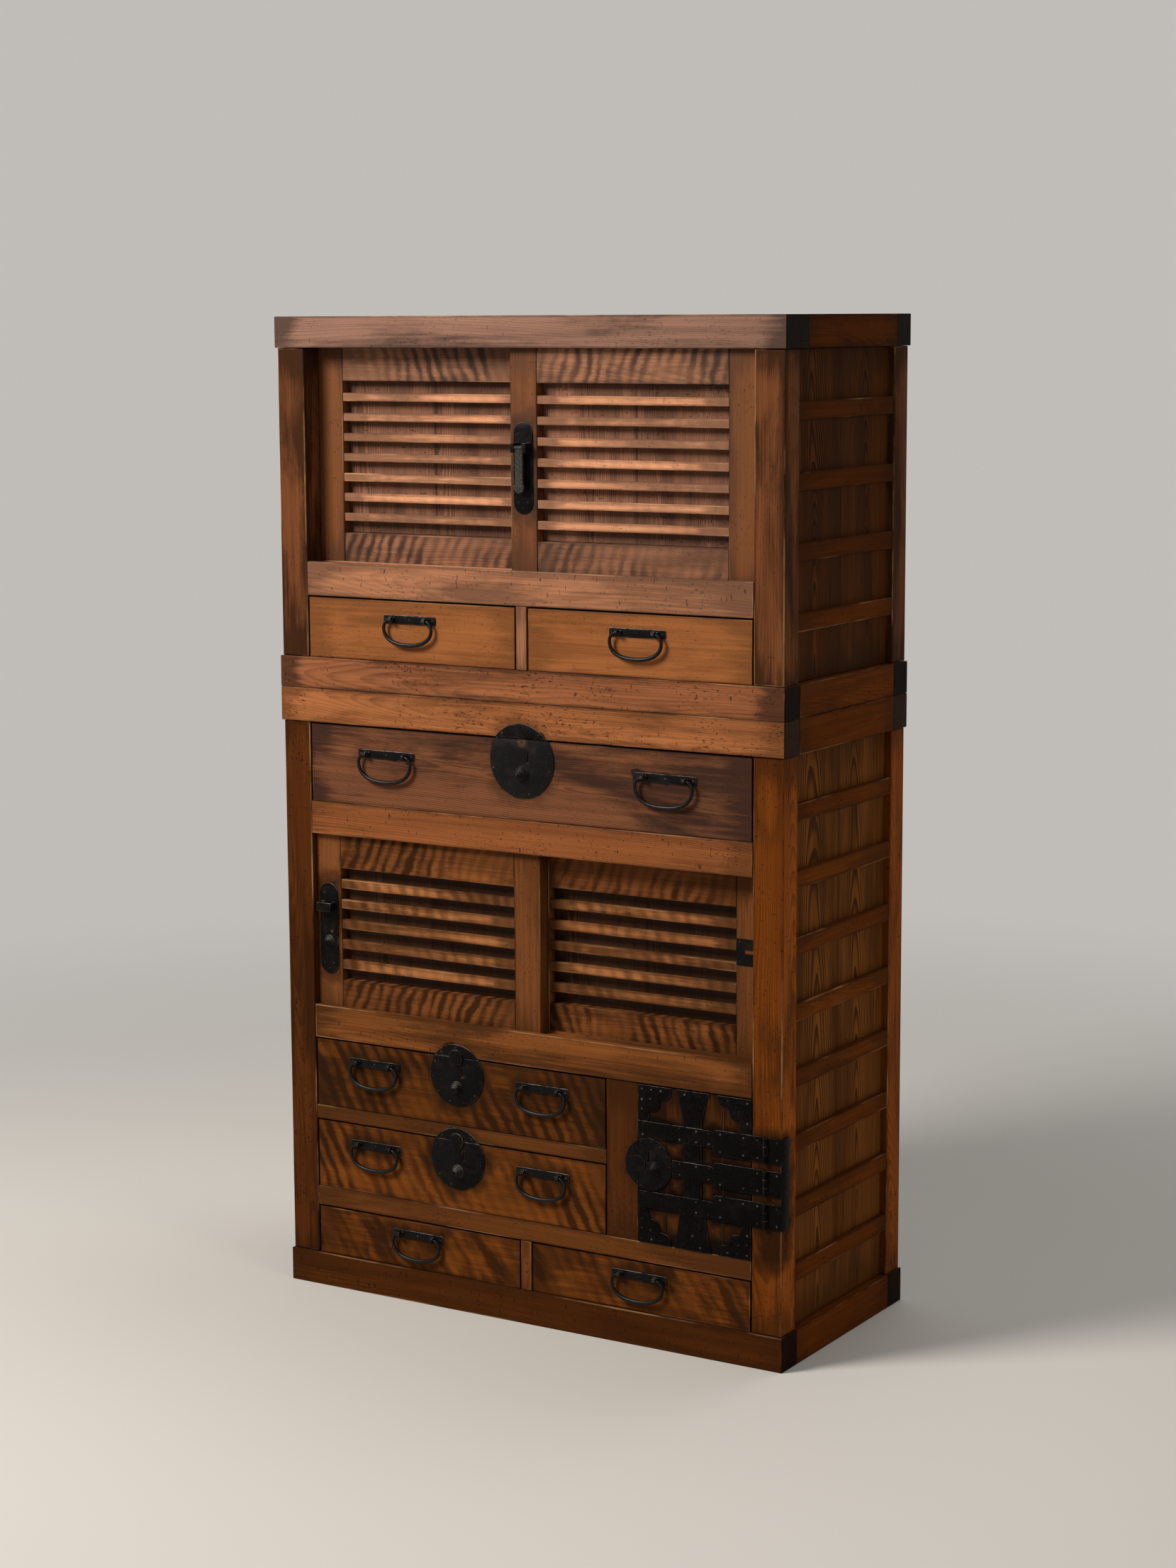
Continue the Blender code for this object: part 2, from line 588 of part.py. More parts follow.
def round_lock(name, carrier, faces, centre, radius, cut, knob, tongue, sideways=False):
    """Round lock plate cut along the joint it locks: the larger part moves, the keeper stays on the case."""
    face, keeper_face = faces
    plate = (face - GAP - LOCK_PLATE_THICKNESS, face - GAP)
    keeper = (keeper_face - GAP - LOCK_PLATE_THICKNESS, keeper_face - GAP)
    aim = 180 if sideways else 90
    turn = math.degrees(math.acos(cut / radius))
    keeper_turn = math.degrees(math.acos((cut + KEEPER_GAP) / radius))
    disc = arc(centre, radius, aim + turn, aim + 360 - turn, 24)
    cap = arc(centre, radius, aim - keeper_turn, aim + keeper_turn, 12)
    knob_x, knob_z = (centre[0], centre[1] - KNOB_DROP)
    key_x, key_z = (centre[0] + KEYHOLE_OFFSET, centre[1])
    if sideways:
        knob_x, knob_z = (centre[0] + KEYHOLE_OFFSET, centre[1] - KNOB_RADIUS / 2)
        key_x, key_z = (centre[0], centre[1] + KNOB_RADIUS / 2)
    shapes = [prism(disc, plate), knob_shape((knob_x, FRONT + plate[0], knob_z), *knob)]
    if tongue:
        edge = (centre[0] - cut, centre[1]) if sideways else (centre[0], centre[1] + cut)
        boss_back = min(keeper[0], plate[0]) - GAP
        boss_front = boss_back - LOCK_PLATE_THICKNESS
        shapes.append(prism(arc(edge, TONGUE_RADIUS, 0, 342, 19), (boss_front, boss_back)))
        inset = TONGUE_RADIUS / 2
        seat = (edge[0] + inset, edge[1]) if sideways else (edge[0], edge[1] - inset)
        seat_depth = (boss_front + LOCK_PLATE_THICKNESS / 2, plate[0] + LOCK_PLATE_THICKNESS / 2)
        shapes.append(prism(arc(seat, inset / 2, 0, 330, 11), seat_depth))
    keyhole = keyhole_shape(key_x, key_z, (plate[0] - OVERCUT, plate[1] + OVERCUT))
    lock = solid(name + "_lock_plate", iron(), (centre[0], FRONT + plate[1], centre[1]), shapes, [keyhole], 35)
    attach(lock, carrier)
    solid(name + "_lock_keeper", iron(), (centre[0], FRONT + keeper[1], centre[1]), [prism(cap, keeper)], (), 35)


def round_ended(x, z, width, height):
    """Upright plate outline with both ends drawn round."""
    half = width / 2
    rise = height / 2 - half
    return arc((x, z + rise), half, 0, 180, 10) + arc((x, z - rise), half, 180, 360, 10)


def staple_shapes(x, z, plate_front, capped):
    """Two ears standing out from a lock plate, joined by a cap bar where the staple is a closed loop."""
    half = STAPLE_WIDTH / 2
    out = plate_front - STAPLE_REACH
    root = plate_front + LOCK_PLATE_THICKNESS / 2
    height = (z - STAPLE_HEIGHT / 2, z + STAPLE_HEIGHT / 2)
    shapes = [box((x - half, x - half + STAPLE_EAR), (out, root), height),
              box((x + half - STAPLE_EAR, x + half), (out, root), height)]
    if capped:
        shapes.append(box((x - half, x + half), (out, out + STAPLE_CAP), height))
    return shapes


def door_lock(name, carrier, x, z, width, height, extra_shapes, cuts, capped):
    """Round-ended lock plate on a door stile, with the staple that stands out near its top."""
    plate = (FRONT_DOOR_FACE - GAP - LOCK_PLATE_THICKNESS, FRONT_DOOR_FACE - GAP)
    staple_z = z + height / 2 - STAPLE_DROP
    shapes = [prism(round_ended(x, z, width, height), plate)]
    shapes += staple_shapes(x, staple_z, plate[0], capped) + extra_shapes
    lock = solid(name, iron(), (x, FRONT + plate[1], z), shapes, cuts, 35)
    attach(lock, carrier)


def upper_door_lock(carrier, x, z):
    """Lock plate of the upper doors, whose staple carries a hasp bar on a cross pin."""
    plate_front = FRONT_DOOR_FACE - GAP - LOCK_PLATE_THICKNESS
    pivot_depth = plate_front - HASP_STANDOFF
    staple_z = z + UPPER_DOOR_LOCK_HEIGHT / 2 - STAPLE_DROP
    pivot = Vector((x, FRONT + pivot_depth, staple_z))
    half = STAPLE_WIDTH / 2 - STAPLE_EAR / 2
    pin = turned([(0.0, -half), (HASP_PIN_RADIUS, -half), (HASP_PIN_RADIUS, half), (0.0, half)], pivot, (1, 0, 0), 10)
    door_lock("upper_door_lock_plate", carrier, x, z, DOOR_LOCK_WIDTH, UPPER_DOOR_LOCK_HEIGHT, [pin], (), False)
    bore = HASP_PIN_RADIUS + HINGE_CLEARANCE
    wide = HASP_WIDTH / 2
    barrel = [(bore, -wide), (bore, wide), (HASP_BARREL_RADIUS, wide), (HASP_BARREL_RADIUS, -wide)]
    end = staple_z - HASP_LENGTH + HASP_END_RADIUS
    neck = math.degrees(math.asin(wide / HASP_END_RADIUS))
    top = staple_z - (bore + HASP_BARREL_RADIUS) / 2
    tail = arc((x, end), HASP_END_RADIUS, 90 + neck, 450 - neck, 12)
    bar = prism(tail + [(x + wide, top), (x - wide, top)],
                (pivot_depth - HASP_THICKNESS / 2, pivot_depth + HASP_THICKNESS / 2))
    hasp = solid("upper_door_hasp", iron(), pivot, [turned(barrel, pivot, (1, 0, 0), 10, True), bar], (), 35)
    attach(hasp, carrier)


def lower_door_lock(carrier, x, z):
    """Lock plate of the lower doors, with a closed staple, a keyhole and a small stepped knob."""
    plate = (FRONT_DOOR_FACE - GAP - LOCK_PLATE_THICKNESS, FRONT_DOOR_FACE - GAP)
    knob = knob_shape((x, FRONT + plate[0], z - KNOB_DROP), LOWER_KNOB_RADIUS, LOWER_KNOB_LENGTH)
    keyhole = keyhole_shape(x + KEYHOLE_OFFSET / 2, z - KEYHOLE_EYE_RADIUS, (plate[0] - OVERCUT, plate[1] + OVERCUT))
    door_lock("lower_door_lock_plate", carrier, x, z, LOWER_DOOR_LOCK_WIDTH, LOWER_DOOR_LOCK_HEIGHT,
              [knob], [keyhole], True)


# Safe door

def lobed_corner(corner, reach_x, reach_z):
    """Corner plate whose slanting edge is a row of round lobes; the reaches are signed, into the door."""
    start = Vector((corner[0] + reach_x, corner[1]))
    stop = Vector((corner[0], corner[1] + reach_z))
    step = (stop - start) / CORNER_LOBES
    away = Vector((reach_x, 0)) + Vector((0, reach_z))
    away.normalize()
    outline = [corner, tuple(start)]
    lobe_points = 5
    for lobe in range(CORNER_LOBES):
        for index in range(1, lobe_points + 1):
            share = index / lobe_points
            bulge = away * (step.length * 0.28 * math.sin(math.pi * share))
            outline.append(tuple(start + step * (lobe + share) + bulge))
    return outline


def flared_plate(x, narrow, wide, steps=5):
    """Plate between two levels with hollow sides; narrow and wide are (width, z) of its two ends."""
    right = []
    for index in range(steps + 1):
        share = index / steps
        width = narrow[0] + (wide[0] - narrow[0]) * (1 - math.cos(math.pi / 2 * share))
        right.append((x + width / 2, narrow[1] + (wide[1] - narrow[1]) * share))
    left = [(2 * x - px, pz) for px, pz in reversed(right)]
    return right + left


def knuckle_levels(middle):
    """Thirds of a hinge strap: the middle one is the strap's knuckle, the others are the post's."""
    third = STRAP_HEIGHT / 3
    half_gap = HINGE_CLEARANCE / 2
    return [(middle + (index - 1.5) * third + half_gap, middle + (index - 0.5) * third - half_gap)
            for index in range(3)]


def safe_door(hinge_x):
    """Iron-bound plank door on three strap hinges whose knuckles stand in front of the post."""
    face = POST_SETBACK
    x = (SAFE_LEFT + SAFE_DOOR_GAP, OPENING - SAFE_HINGE_GAP)
    z = (CROSS_RAIL_TOP + GAP, LOWER_SILL_LOW - DRAWER_TOP_GAP)
    middle_x = sum(x) / 2
    middle_z = sum(z) / 2
    iron_back = face - GAP
    sheet = (iron_back - LOCK_PLATE_THICKNESS, iron_back)
    band = (iron_back - BAND_THICKNESS, iron_back)
    axis_depth = iron_back - HINGE_RADIUS
    pivot = pivot_empty("safe_door_pivot", (hinge_x, FRONT + axis_depth, middle_z))
    planks = solid("safe_door_planks", wood("dark"), (middle_x, FRONT + face, middle_z),
                   [box(x, (face, face + SAFE_DOOR_THICKNESS), z)])
    attach(planks, pivot)

    strap_levels = [middle_z + index * STRAP_SPACING for index in (-1, 0, 1)]
    band_end = middle_x + BAND_END
    spine_x = middle_x - SPINE_OFFSET
    lock_x = SAFE_LEFT + SAFE_LOCK_INSET
    band_starts = (x[0], lock_x + SAFE_LOCK_RADIUS + GAP * 4, x[0])
    band_levels = [middle_z + index * BAND_SPACING for index in (-1, 0, 1)]
    foot_top = band_levels[0] - BAND_HEIGHT / 2 + TENON
    crown_low = band_levels[2] + BAND_HEIGHT / 2 - TENON
    shapes = [prism([(spine_x - SPINE_WIDTH / 2, z[0]), (spine_x + SPINE_WIDTH / 2, z[0]),
                     (spine_x + SPINE_WIDTH / 2, z[1]), (spine_x - SPINE_WIDTH / 2, z[1])], sheet),
              prism(flared_plate(spine_x, (SPINE_WIDTH, crown_low), (CROWN_WIDTH, z[1])), sheet),
              prism(flared_plate(spine_x, (FOOT_TOP_WIDTH, foot_top), (FOOT_WIDTH, z[0])), sheet)]
    for level, start in zip(band_levels, band_starts):
        band_z = (level - BAND_HEIGHT / 2, level + BAND_HEIGHT / 2)
        shapes.append(prism(rounded_bar((start, band_end + TENON / 4), band_z, 0, BAND_CORNER), band))
    shapes.append(prism(lobed_corner((x[0], z[1]), CORNER_REACH, -(z[1] - crown_low + TENON / 4)), sheet))
    shapes.append(prism(lobed_corner((x[0], z[0]), CORNER_REACH, foot_top - z[0] - TENON / 2), sheet))
    strap_top = strap_levels[2] + STRAP_HEIGHT / 2 - TENON / 4
    strap_foot = strap_levels[0] - STRAP_HEIGHT / 2 + TENON / 4
    shapes.append(prism(lobed_corner((x[1], z[1]), -CORNER_REACH, strap_top - z[1]), sheet))
    shapes.append(prism(lobed_corner((x[1], z[0]), -CORNER_REACH, strap_foot - z[0]), sheet))
    bore = HINGE_PIN_RADIUS + HINGE_CLEARANCE
    notch = hinge_x - HINGE_RADIUS - 2 * HINGE_CLEARANCE
    for level in strap_levels:
        low, high = level - STRAP_HEIGHT / 2, level + STRAP_HEIGHT / 2
        shapes.append(prism(rounded_bar((band_end, notch), (low, high), BAND_CORNER, 0), band))
        knuckle = knuckle_levels(level)[1]
        shapes.append(box((notch - TENON, hinge_x - bore), (iron_back - HINGE_IRON, iron_back), knuckle))
        ring = [(bore, knuckle[0]), (HINGE_RADIUS, knuckle[0]), (HINGE_RADIUS, knuckle[1]), (bore, knuckle[1])]
        shapes.append(turned(ring, (hinge_x, FRONT + axis_depth, 0), (0, 0, 1), 12, True))
    ironwork = solid("safe_door_ironwork", iron(), (middle_x, FRONT + iron_back, middle_z), shapes, (), 35)
    attach(ironwork, pivot)
    round_lock("safe", pivot, (face, face), (lock_x, middle_z), SAFE_LOCK_RADIUS, SAFE_LOCK_INSET - SAFE_DOOR_GAP,
               (KNOB_RADIUS, KNOB_LENGTH), True, sideways=True)
    return strap_levels, axis_depth


def safe_hinge_plate(hinge_x, strap_levels, axis_depth):
    """Fixed half of the strap hinges: three leaves that turn the post's corner into one upright plate."""
    back = POST_SETBACK - GAP
    leaf = (back - HINGE_IRON, back)
    wrap = (POST_OUTER + GAP, POST_OUTER + GAP + HINGE_IRON)
    low = strap_levels[0] - STRAP_HEIGHT / 2
    high = strap_levels[2] + STRAP_HEIGHT / 2
    shapes = [box(wrap, (leaf[0], POST_SETBACK + HINGE_SIDE_RETURN), (low, high))]
    notch = hinge_x + HINGE_RADIUS + 2 * HINGE_CLEARANCE
    for level in strap_levels:
        levels = knuckle_levels(level)
        shapes.append(box((notch, wrap[0] + HINGE_IRON / 2), leaf, (levels[0][0], levels[2][1])))
        for knuckle in (levels[0], levels[2]):
            shapes.append(box((hinge_x, notch + TENON), leaf, knuckle))
            ends = [(0.0, knuckle[0]), (HINGE_RADIUS, knuckle[0]), (HINGE_RADIUS, knuckle[1]), (0.0, knuckle[1])]
            shapes.append(turned(ends, (hinge_x, FRONT + axis_depth, 0), (0, 0, 1), 12))
        inner = (levels[0][1] - TENON, levels[2][0] + TENON)
        pin = [(0.0, inner[0]), (HINGE_PIN_RADIUS, inner[0]), (HINGE_PIN_RADIUS, inner[1]), (0.0, inner[1])]
        shapes.append(turned(pin, (hinge_x, FRONT + axis_depth, 0), (0, 0, 1), 12))
    solid("safe_hinge_plate", iron(), (hinge_x, FRONT + axis_depth, strap_levels[1]), shapes, (), 35)


# Lower case
case_frame("lower_base_frame", 0.0, BASE_HEIGHT, RAIL_DEPTH, False)
case_frame("lower_top_frame", LOWER_TOP_LOW, LOWER_TOP_HEIGHT, RAIL_DEPTH, False)
for side_name, side in (("left", -1), ("right", 1)):
    case_side("lower_side_" + side_name, side, BASE_TOP, LOWER_TOP_LOW, LOWER_BATTENS)
case_back("lower_back", BASE_TOP, LOWER_TOP_LOW)
solid("lower_shelf", wood("frame"), (0, FRONT, SHELF_RAIL_TOP),
      shelf_shapes(SHELF_RAIL_LOW, SHELF_RAIL_TOP, TRACK_DEPTH), door_grooves(SHELF_RAIL_LOW, True))
solid("lower_door_sill", wood("frame"), (0, FRONT, LOWER_SILL_TOP),
      shelf_shapes(LOWER_SILL_LOW, LOWER_SILL_TOP, TRACK_DEPTH), door_grooves(LOWER_SILL_TOP, False))
solid("lower_cross_rail", wood("frame"), (0, FRONT, CROSS_RAIL_TOP),
      shelf_shapes(CROSS_RAIL_LOW, CROSS_RAIL_TOP, RAIL_DEPTH)
      + divider_shapes((-DIVIDER_WIDTH / 2, DIVIDER_WIDTH / 2), BASE_TOP, CROSS_RAIL_LOW))
lock_x = (-OPENING + GAP, LOCK_BAY_RIGHT + TENON)
divider_z = (CROSS_RAIL_TOP + GAP, LOWER_SILL_LOW - GAP)
partition_z = (CROSS_RAIL_TOP + GAP, LOWER_SILL_TOP - SHELF_THICKNESS - GAP)
solid("safe_divider", wood("frame"), (LOCK_BAY_RIGHT, FRONT, CROSS_RAIL_TOP), [
    box((LOCK_BAY_RIGHT, SAFE_LEFT), (POST_SETBACK, RAIL_DEPTH), divider_z),
    box((LOCK_BAY_RIGHT, LOCK_BAY_RIGHT + PARTITION_THICKNESS), (RAIL_DEPTH - TENON, TRACK_DEPTH + TENON), divider_z),
    box((LOCK_BAY_RIGHT, LOCK_BAY_RIGHT + PARTITION_THICKNESS), (TRACK_DEPTH + GAP, BACK_FRONT - GAP), partition_z),
    box(lock_x, (POST_SETBACK, LOCK_RAIL_DEPTH), (LOCK_RAIL_LOW, LOCK_RAIL_TOP)),
    box(lock_x, (LOCK_RAIL_DEPTH - TENON, BACK_FRONT - GAP), (LOCK_RAIL_TOP - SHELF_THICKNESS, LOCK_RAIL_TOP)),
])

# Upper case
case_frame("upper_base_frame", UPPER_LOW, UPPER_BASE_HEIGHT, RAIL_DEPTH, False)
case_frame("upper_top_frame", TOP_LOW, TOP_HEIGHT, TRACK_DEPTH, True)
for side_name, side in (("left", -1), ("right", 1)):
    case_side("upper_side_" + side_name, side, UPPER_BASE_TOP, TOP_LOW, UPPER_BATTENS)
case_back("upper_back", UPPER_BASE_TOP, TOP_LOW)
solid("upper_door_sill", wood("frame"), (0, FRONT, UPPER_SILL_TOP),
      shelf_shapes(UPPER_SILL_LOW, UPPER_SILL_TOP, TRACK_DEPTH)
      + divider_shapes((-DIVIDER_WIDTH / 2, DIVIDER_WIDTH / 2), UPPER_BASE_TOP, UPPER_SILL_LOW),
      door_grooves(UPPER_SILL_TOP, False))

# Sliding doors, each overlapping the other by one stile
left_x = (-OPENING + DOOR_SIDE_GAP, STILE_WIDTH / 2)
right_x = (-STILE_WIDTH / 2, OPENING - DOOR_SIDE_GAP)
upper_bay = (UPPER_SILL_TOP, TOP_LOW)
lower_bay = (LOWER_SILL_TOP, SHELF_RAIL_LOW)
upper_rails = (UPPER_DOOR_TOP_RAIL, UPPER_DOOR_BOTTOM_RAIL)
lower_rails = (LOWER_DOOR_TOP_RAIL, LOWER_DOOR_BOTTOM_RAIL)
sliding_door("upper_left_door", left_x, REAR_DOOR_FACE, upper_bay, upper_rails, UPPER_BARS, UPPER_BAR_HEIGHT)
upper_front_door = sliding_door("upper_right_door", right_x, FRONT_DOOR_FACE, upper_bay, upper_rails,
                                UPPER_BARS, UPPER_BAR_HEIGHT)
upper_door_lock(upper_front_door, 0.0, UPPER_SILL_TOP + UPPER_DOOR_LOCK_CENTRE)
lower_front_door = sliding_door("lower_left_door", left_x, FRONT_DOOR_FACE, lower_bay, lower_rails,
                                LOWER_BARS, LOWER_BAR_HEIGHT)
sliding_door("lower_right_door", right_x, REAR_DOOR_FACE, lower_bay, lower_rails, LOWER_BARS, LOWER_BAR_HEIGHT)
lower_door_lock(lower_front_door, left_x[0] + STILE_WIDTH / 2, LOWER_SILL_TOP + LOWER_DOOR_LOCK_CENTRE)

# Drawers with their handles and locks
half_divider = DIVIDER_WIDTH / 2
half_left = (-OPENING, -half_divider)
half_right = (half_divider, OPENING)
lock_bay = (-OPENING, LOCK_BAY_RIGHT)
upper_drawer_bay = (UPPER_BASE_TOP, UPPER_SILL_LOW)
bottom_bay = (BASE_TOP, CROSS_RAIL_LOW)
for name, bay_x, bay_z, tone, drop in (
        ("upper_left_drawer", half_left, upper_drawer_bay, "plain", UPPER_HANDLE_DROP),
        ("upper_right_drawer", half_right, upper_drawer_bay, "plain", UPPER_HANDLE_DROP),
        ("bottom_left_drawer", half_left, bottom_bay, "figured", BOTTOM_HANDLE_DROP),
        ("bottom_right_drawer", half_right, bottom_bay, "figured", BOTTOM_HANDLE_DROP)):
    box_drawer = drawer(name, bay_x, bay_z, tone)
    handle(name, box_drawer, sum(bay_x) / 2, bay_z[1] - drop, SMALL_PLATE_WIDTH, SMALL_BAIL_DROP)

wide_bay = (SHELF_RAIL_TOP, LOWER_TOP_LOW)
wide_drawer = drawer("wide_drawer", (-OPENING, OPENING), wide_bay, "dark")
for side_name, side in (("left", -1), ("right", 1)):
    handle("wide_drawer_" + side_name, wide_drawer, side * HANDLE_SPREAD_WIDE, wide_bay[1] - WIDE_HANDLE_DROP,
           WIDE_PLATE_WIDTH, WIDE_BAIL_DROP)
round_lock("wide_drawer", wide_drawer, (DRAWER_FACE, 0.0), (0.0, wide_bay[1] - DRAWER_TOP_GAP - WIDE_LOCK_DROP),
           WIDE_LOCK_RADIUS, WIDE_LOCK_DROP, (WIDE_KNOB_RADIUS, WIDE_KNOB_LENGTH), False)

lock_middle = sum(lock_bay) / 2
for name, bay_z in (("upper_lock_drawer", (LOCK_RAIL_TOP, LOWER_SILL_LOW)),
                    ("lower_lock_drawer", (CROSS_RAIL_TOP, LOCK_RAIL_LOW))):
    lock_drawer = drawer(name, lock_bay, bay_z, "figured")
    for side_name, side in (("left", -1), ("right", 1)):
        handle(name + "_" + side_name, lock_drawer, lock_middle + side * HANDLE_SPREAD_LOCK,
               bay_z[1] - LOCK_HANDLE_DROP, SMALL_PLATE_WIDTH, SMALL_BAIL_DROP)
    round_lock(name, lock_drawer, (DRAWER_FACE, POST_SETBACK), (lock_middle, bay_z[1] - DRAWER_TOP_GAP - LOCK_DROP),
               LOCK_RADIUS, LOCK_DROP, (KNOB_RADIUS, KNOB_LENGTH), True)

# Safe door and its hinges
hinge_axis_x = OPENING + HINGE_OFFSET
safe_straps, hinge_depth = safe_door(hinge_axis_x)
safe_hinge_plate(hinge_axis_x, safe_straps, hinge_depth)
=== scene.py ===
import functools
import json
import math
import random

import bmesh
import bpy
from mathutils import Euler, Matrix, Vector

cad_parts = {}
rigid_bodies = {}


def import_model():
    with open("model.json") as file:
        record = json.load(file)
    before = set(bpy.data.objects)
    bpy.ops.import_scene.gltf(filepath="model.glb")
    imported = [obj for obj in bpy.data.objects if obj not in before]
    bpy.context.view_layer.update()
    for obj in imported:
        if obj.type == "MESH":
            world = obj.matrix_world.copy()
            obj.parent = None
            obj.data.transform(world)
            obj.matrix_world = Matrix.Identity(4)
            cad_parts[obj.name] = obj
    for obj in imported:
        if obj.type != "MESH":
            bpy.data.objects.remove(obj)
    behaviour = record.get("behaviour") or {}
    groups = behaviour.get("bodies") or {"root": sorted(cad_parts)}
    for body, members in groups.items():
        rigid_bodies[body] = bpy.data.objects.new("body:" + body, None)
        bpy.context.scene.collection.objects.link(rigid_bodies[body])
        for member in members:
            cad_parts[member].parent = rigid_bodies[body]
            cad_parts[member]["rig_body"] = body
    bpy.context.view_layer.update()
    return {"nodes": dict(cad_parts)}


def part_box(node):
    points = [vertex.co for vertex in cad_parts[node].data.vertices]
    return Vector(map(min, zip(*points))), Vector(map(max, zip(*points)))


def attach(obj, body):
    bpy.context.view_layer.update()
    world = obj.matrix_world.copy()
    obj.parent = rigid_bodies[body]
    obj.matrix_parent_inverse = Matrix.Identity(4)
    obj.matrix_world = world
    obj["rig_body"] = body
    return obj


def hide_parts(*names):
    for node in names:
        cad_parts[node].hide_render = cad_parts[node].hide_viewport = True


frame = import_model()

# Camera: a long lens at the photographed angle, right of the chest's front and a little above its middle.
# The image is taken to be 1659 by 2212, so the focal length in pixels is set against the image height.
IMAGE_HEIGHT = 2212
FOCAL_PIXELS = 4344.15
CAMERA_PLACE = Vector((2.43805, -3.98364, 1.51774))
CAMERA_TURN = 0.54928
CAMERA_TILT = 0.15135
CAMERA_ROLL = -0.00489
camera = bpy.data.objects.new("camera", bpy.data.cameras.new("camera"))
camera.data.sensor_fit = "VERTICAL"
camera.data.sensor_height = 36.0
camera.data.lens = FOCAL_PIXELS / IMAGE_HEIGHT * camera.data.sensor_height
aim = Euler((math.pi / 2 - CAMERA_TILT, 0.0, CAMERA_TURN)).to_matrix().to_4x4()
camera.matrix_world = Matrix.Translation(CAMERA_PLACE) @ aim @ Matrix.Rotation(CAMERA_ROLL, 4, "Z")
bpy.context.scene.collection.objects.link(camera)
bpy.context.scene.camera = camera
bpy.context.scene.view_settings.view_transform = "Standard"

# Timber: dense reddish softwood, planed and varnished, then darkened by long years of smoke and handling.
# Every board has its own place in the tree, so each carries its own coordinates: "local" from the board's
# middle with the grain along x, "half" its half sizes, and "seed" a random place.
MM = 0.001
USUAL_ROUND = 1.2 * MM
THIN_ROUND = 0.5 * MM
GRAIN_ORDER = {"x": (0, 1, 2), "y": (1, 0, 2), "z": (2, 1, 0)}
BOARD_LAYERS = ("local", "half", "seed")
SEED_SPANS = ((-9, 9), (-9, 9), (0, 1))
boards_made = random.Random(7)


def wood_mesh():
    mesh = bmesh.new()
    for layer in BOARD_LAYERS:
        mesh.verts.layers.float_vector.new(layer)
    return mesh


def lay_grain(shape, low, high, grain, turned=False):
    """Give a board's vertices their grain coordinates; a turned board shows its figure mirrored."""
    order = GRAIN_ORDER[grain]
    centre = (low + high) / 2
    half = Vector([(high - low)[axis] / 2 for axis in order])
    seed = Vector([boards_made.uniform(*span) for span in SEED_SPANS])
    layers = [shape.verts.layers.float_vector[layer] for layer in BOARD_LAYERS]
    for vert in shape.verts:
        local = Vector([(vert.co - centre)[axis] for axis in order])
        if turned:
            local.z = -local.z
        for layer, value in zip(layers, (local, half, seed)):
            vert[layer] = value


def join_shape(mesh, shape):
    """Add a finished shape to a piece's mesh."""
    step = bpy.data.meshes.new("step")
    shape.to_mesh(step)
    shape.free()
    mesh.from_mesh(step)
    bpy.data.meshes.remove(step)


def ease_edges(shape, edges, round_over, clamp=False):
    """Round some edges of a shape, and return the new faces along them."""
    return bmesh.ops.bevel(
        shape, geom=edges, offset=round_over, offset_type="OFFSET", segments=2, profile=0.5, affect="EDGES",
        clamp_overlap=clamp, material=-1)["faces"]


def join_board(mesh, shape, low, high, grain, round_over, turned=False):
    """Ease a board's edges and add it; only the rounds are shaded smooth, so its faces stay flat."""
    for face in ease_edges(shape, shape.edges, round_over):
        face.smooth = True
    lay_grain(shape, low, high, grain, turned)
    join_shape(mesh, shape)


def add_board(mesh, low, high, grain, round_over=USUAL_ROUND, turned=False):
    """One planed board with eased edges between two corners."""
    low = Vector(low)
    high = Vector(high)
    shape = wood_mesh()
    bmesh.ops.create_cube(shape, size=1.0)
    bmesh.ops.scale(shape, vec=high - low, verts=shape.verts)
    bmesh.ops.translate(shape, vec=(low + high) / 2, verts=shape.verts)
    join_board(mesh, shape, low, high, grain, round_over, turned)


def draw_out(mesh, rim, run):
    """Close a rim of points into a face and draw it out along a vector into a solid."""
    end = mesh.faces.new([mesh.verts.new(point) for point in rim])
    drawn = bmesh.ops.extrude_face_region(mesh, geom=[end])["geom"]
    moved = [item for item in drawn if isinstance(item, bmesh.types.BMVert)]
    bmesh.ops.translate(mesh, vec=run, verts=moved)
    bmesh.ops.recalc_face_normals(mesh, faces=mesh.faces)


def add_rail(mesh, x, outline):
    """One rail run along x from a cross-section of (y, z) points, for grooved sills and heads."""
    shape = wood_mesh()
    draw_out(shape, [(x[0], y, z) for y, z in outline], (x[1] - x[0], 0, 0))
    ys, zs = zip(*outline)
    low = Vector((x[0], min(ys), min(zs)))
    high = Vector((x[1], max(ys), max(zs)))
    join_board(mesh, shape, low, high, "x", USUAL_ROUND)


def finish_piece(name, mesh, material, body, stands_for=()):
    """Turn a piece's mesh into an object that rides on a body and stands for CAD nodes."""
    data = bpy.data.meshes.new(name)
    mesh.to_mesh(data)
    mesh.free()
    data.materials.append(material)
    piece = bpy.data.objects.new(name, data)
    bpy.context.scene.collection.objects.link(piece)
    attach(piece, body)
    for node in stands_for:
        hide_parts(node)
    return piece


def wood_piece(name, boards, material, body, node):
    """One piece of boards, each given as two corners, its grain and, if not the usual one, its round-over."""
    mesh = wood_mesh()
    for board in boards:
        add_board(mesh, *board)
    finish_piece(name, mesh, material, body, [node])


def even_spans(start, stop, count):
    """Split a length into equal boards that touch."""
    width = (stop - start) / count
    return [(start + index * width, start + (index + 1) * width) for index in range(count)]


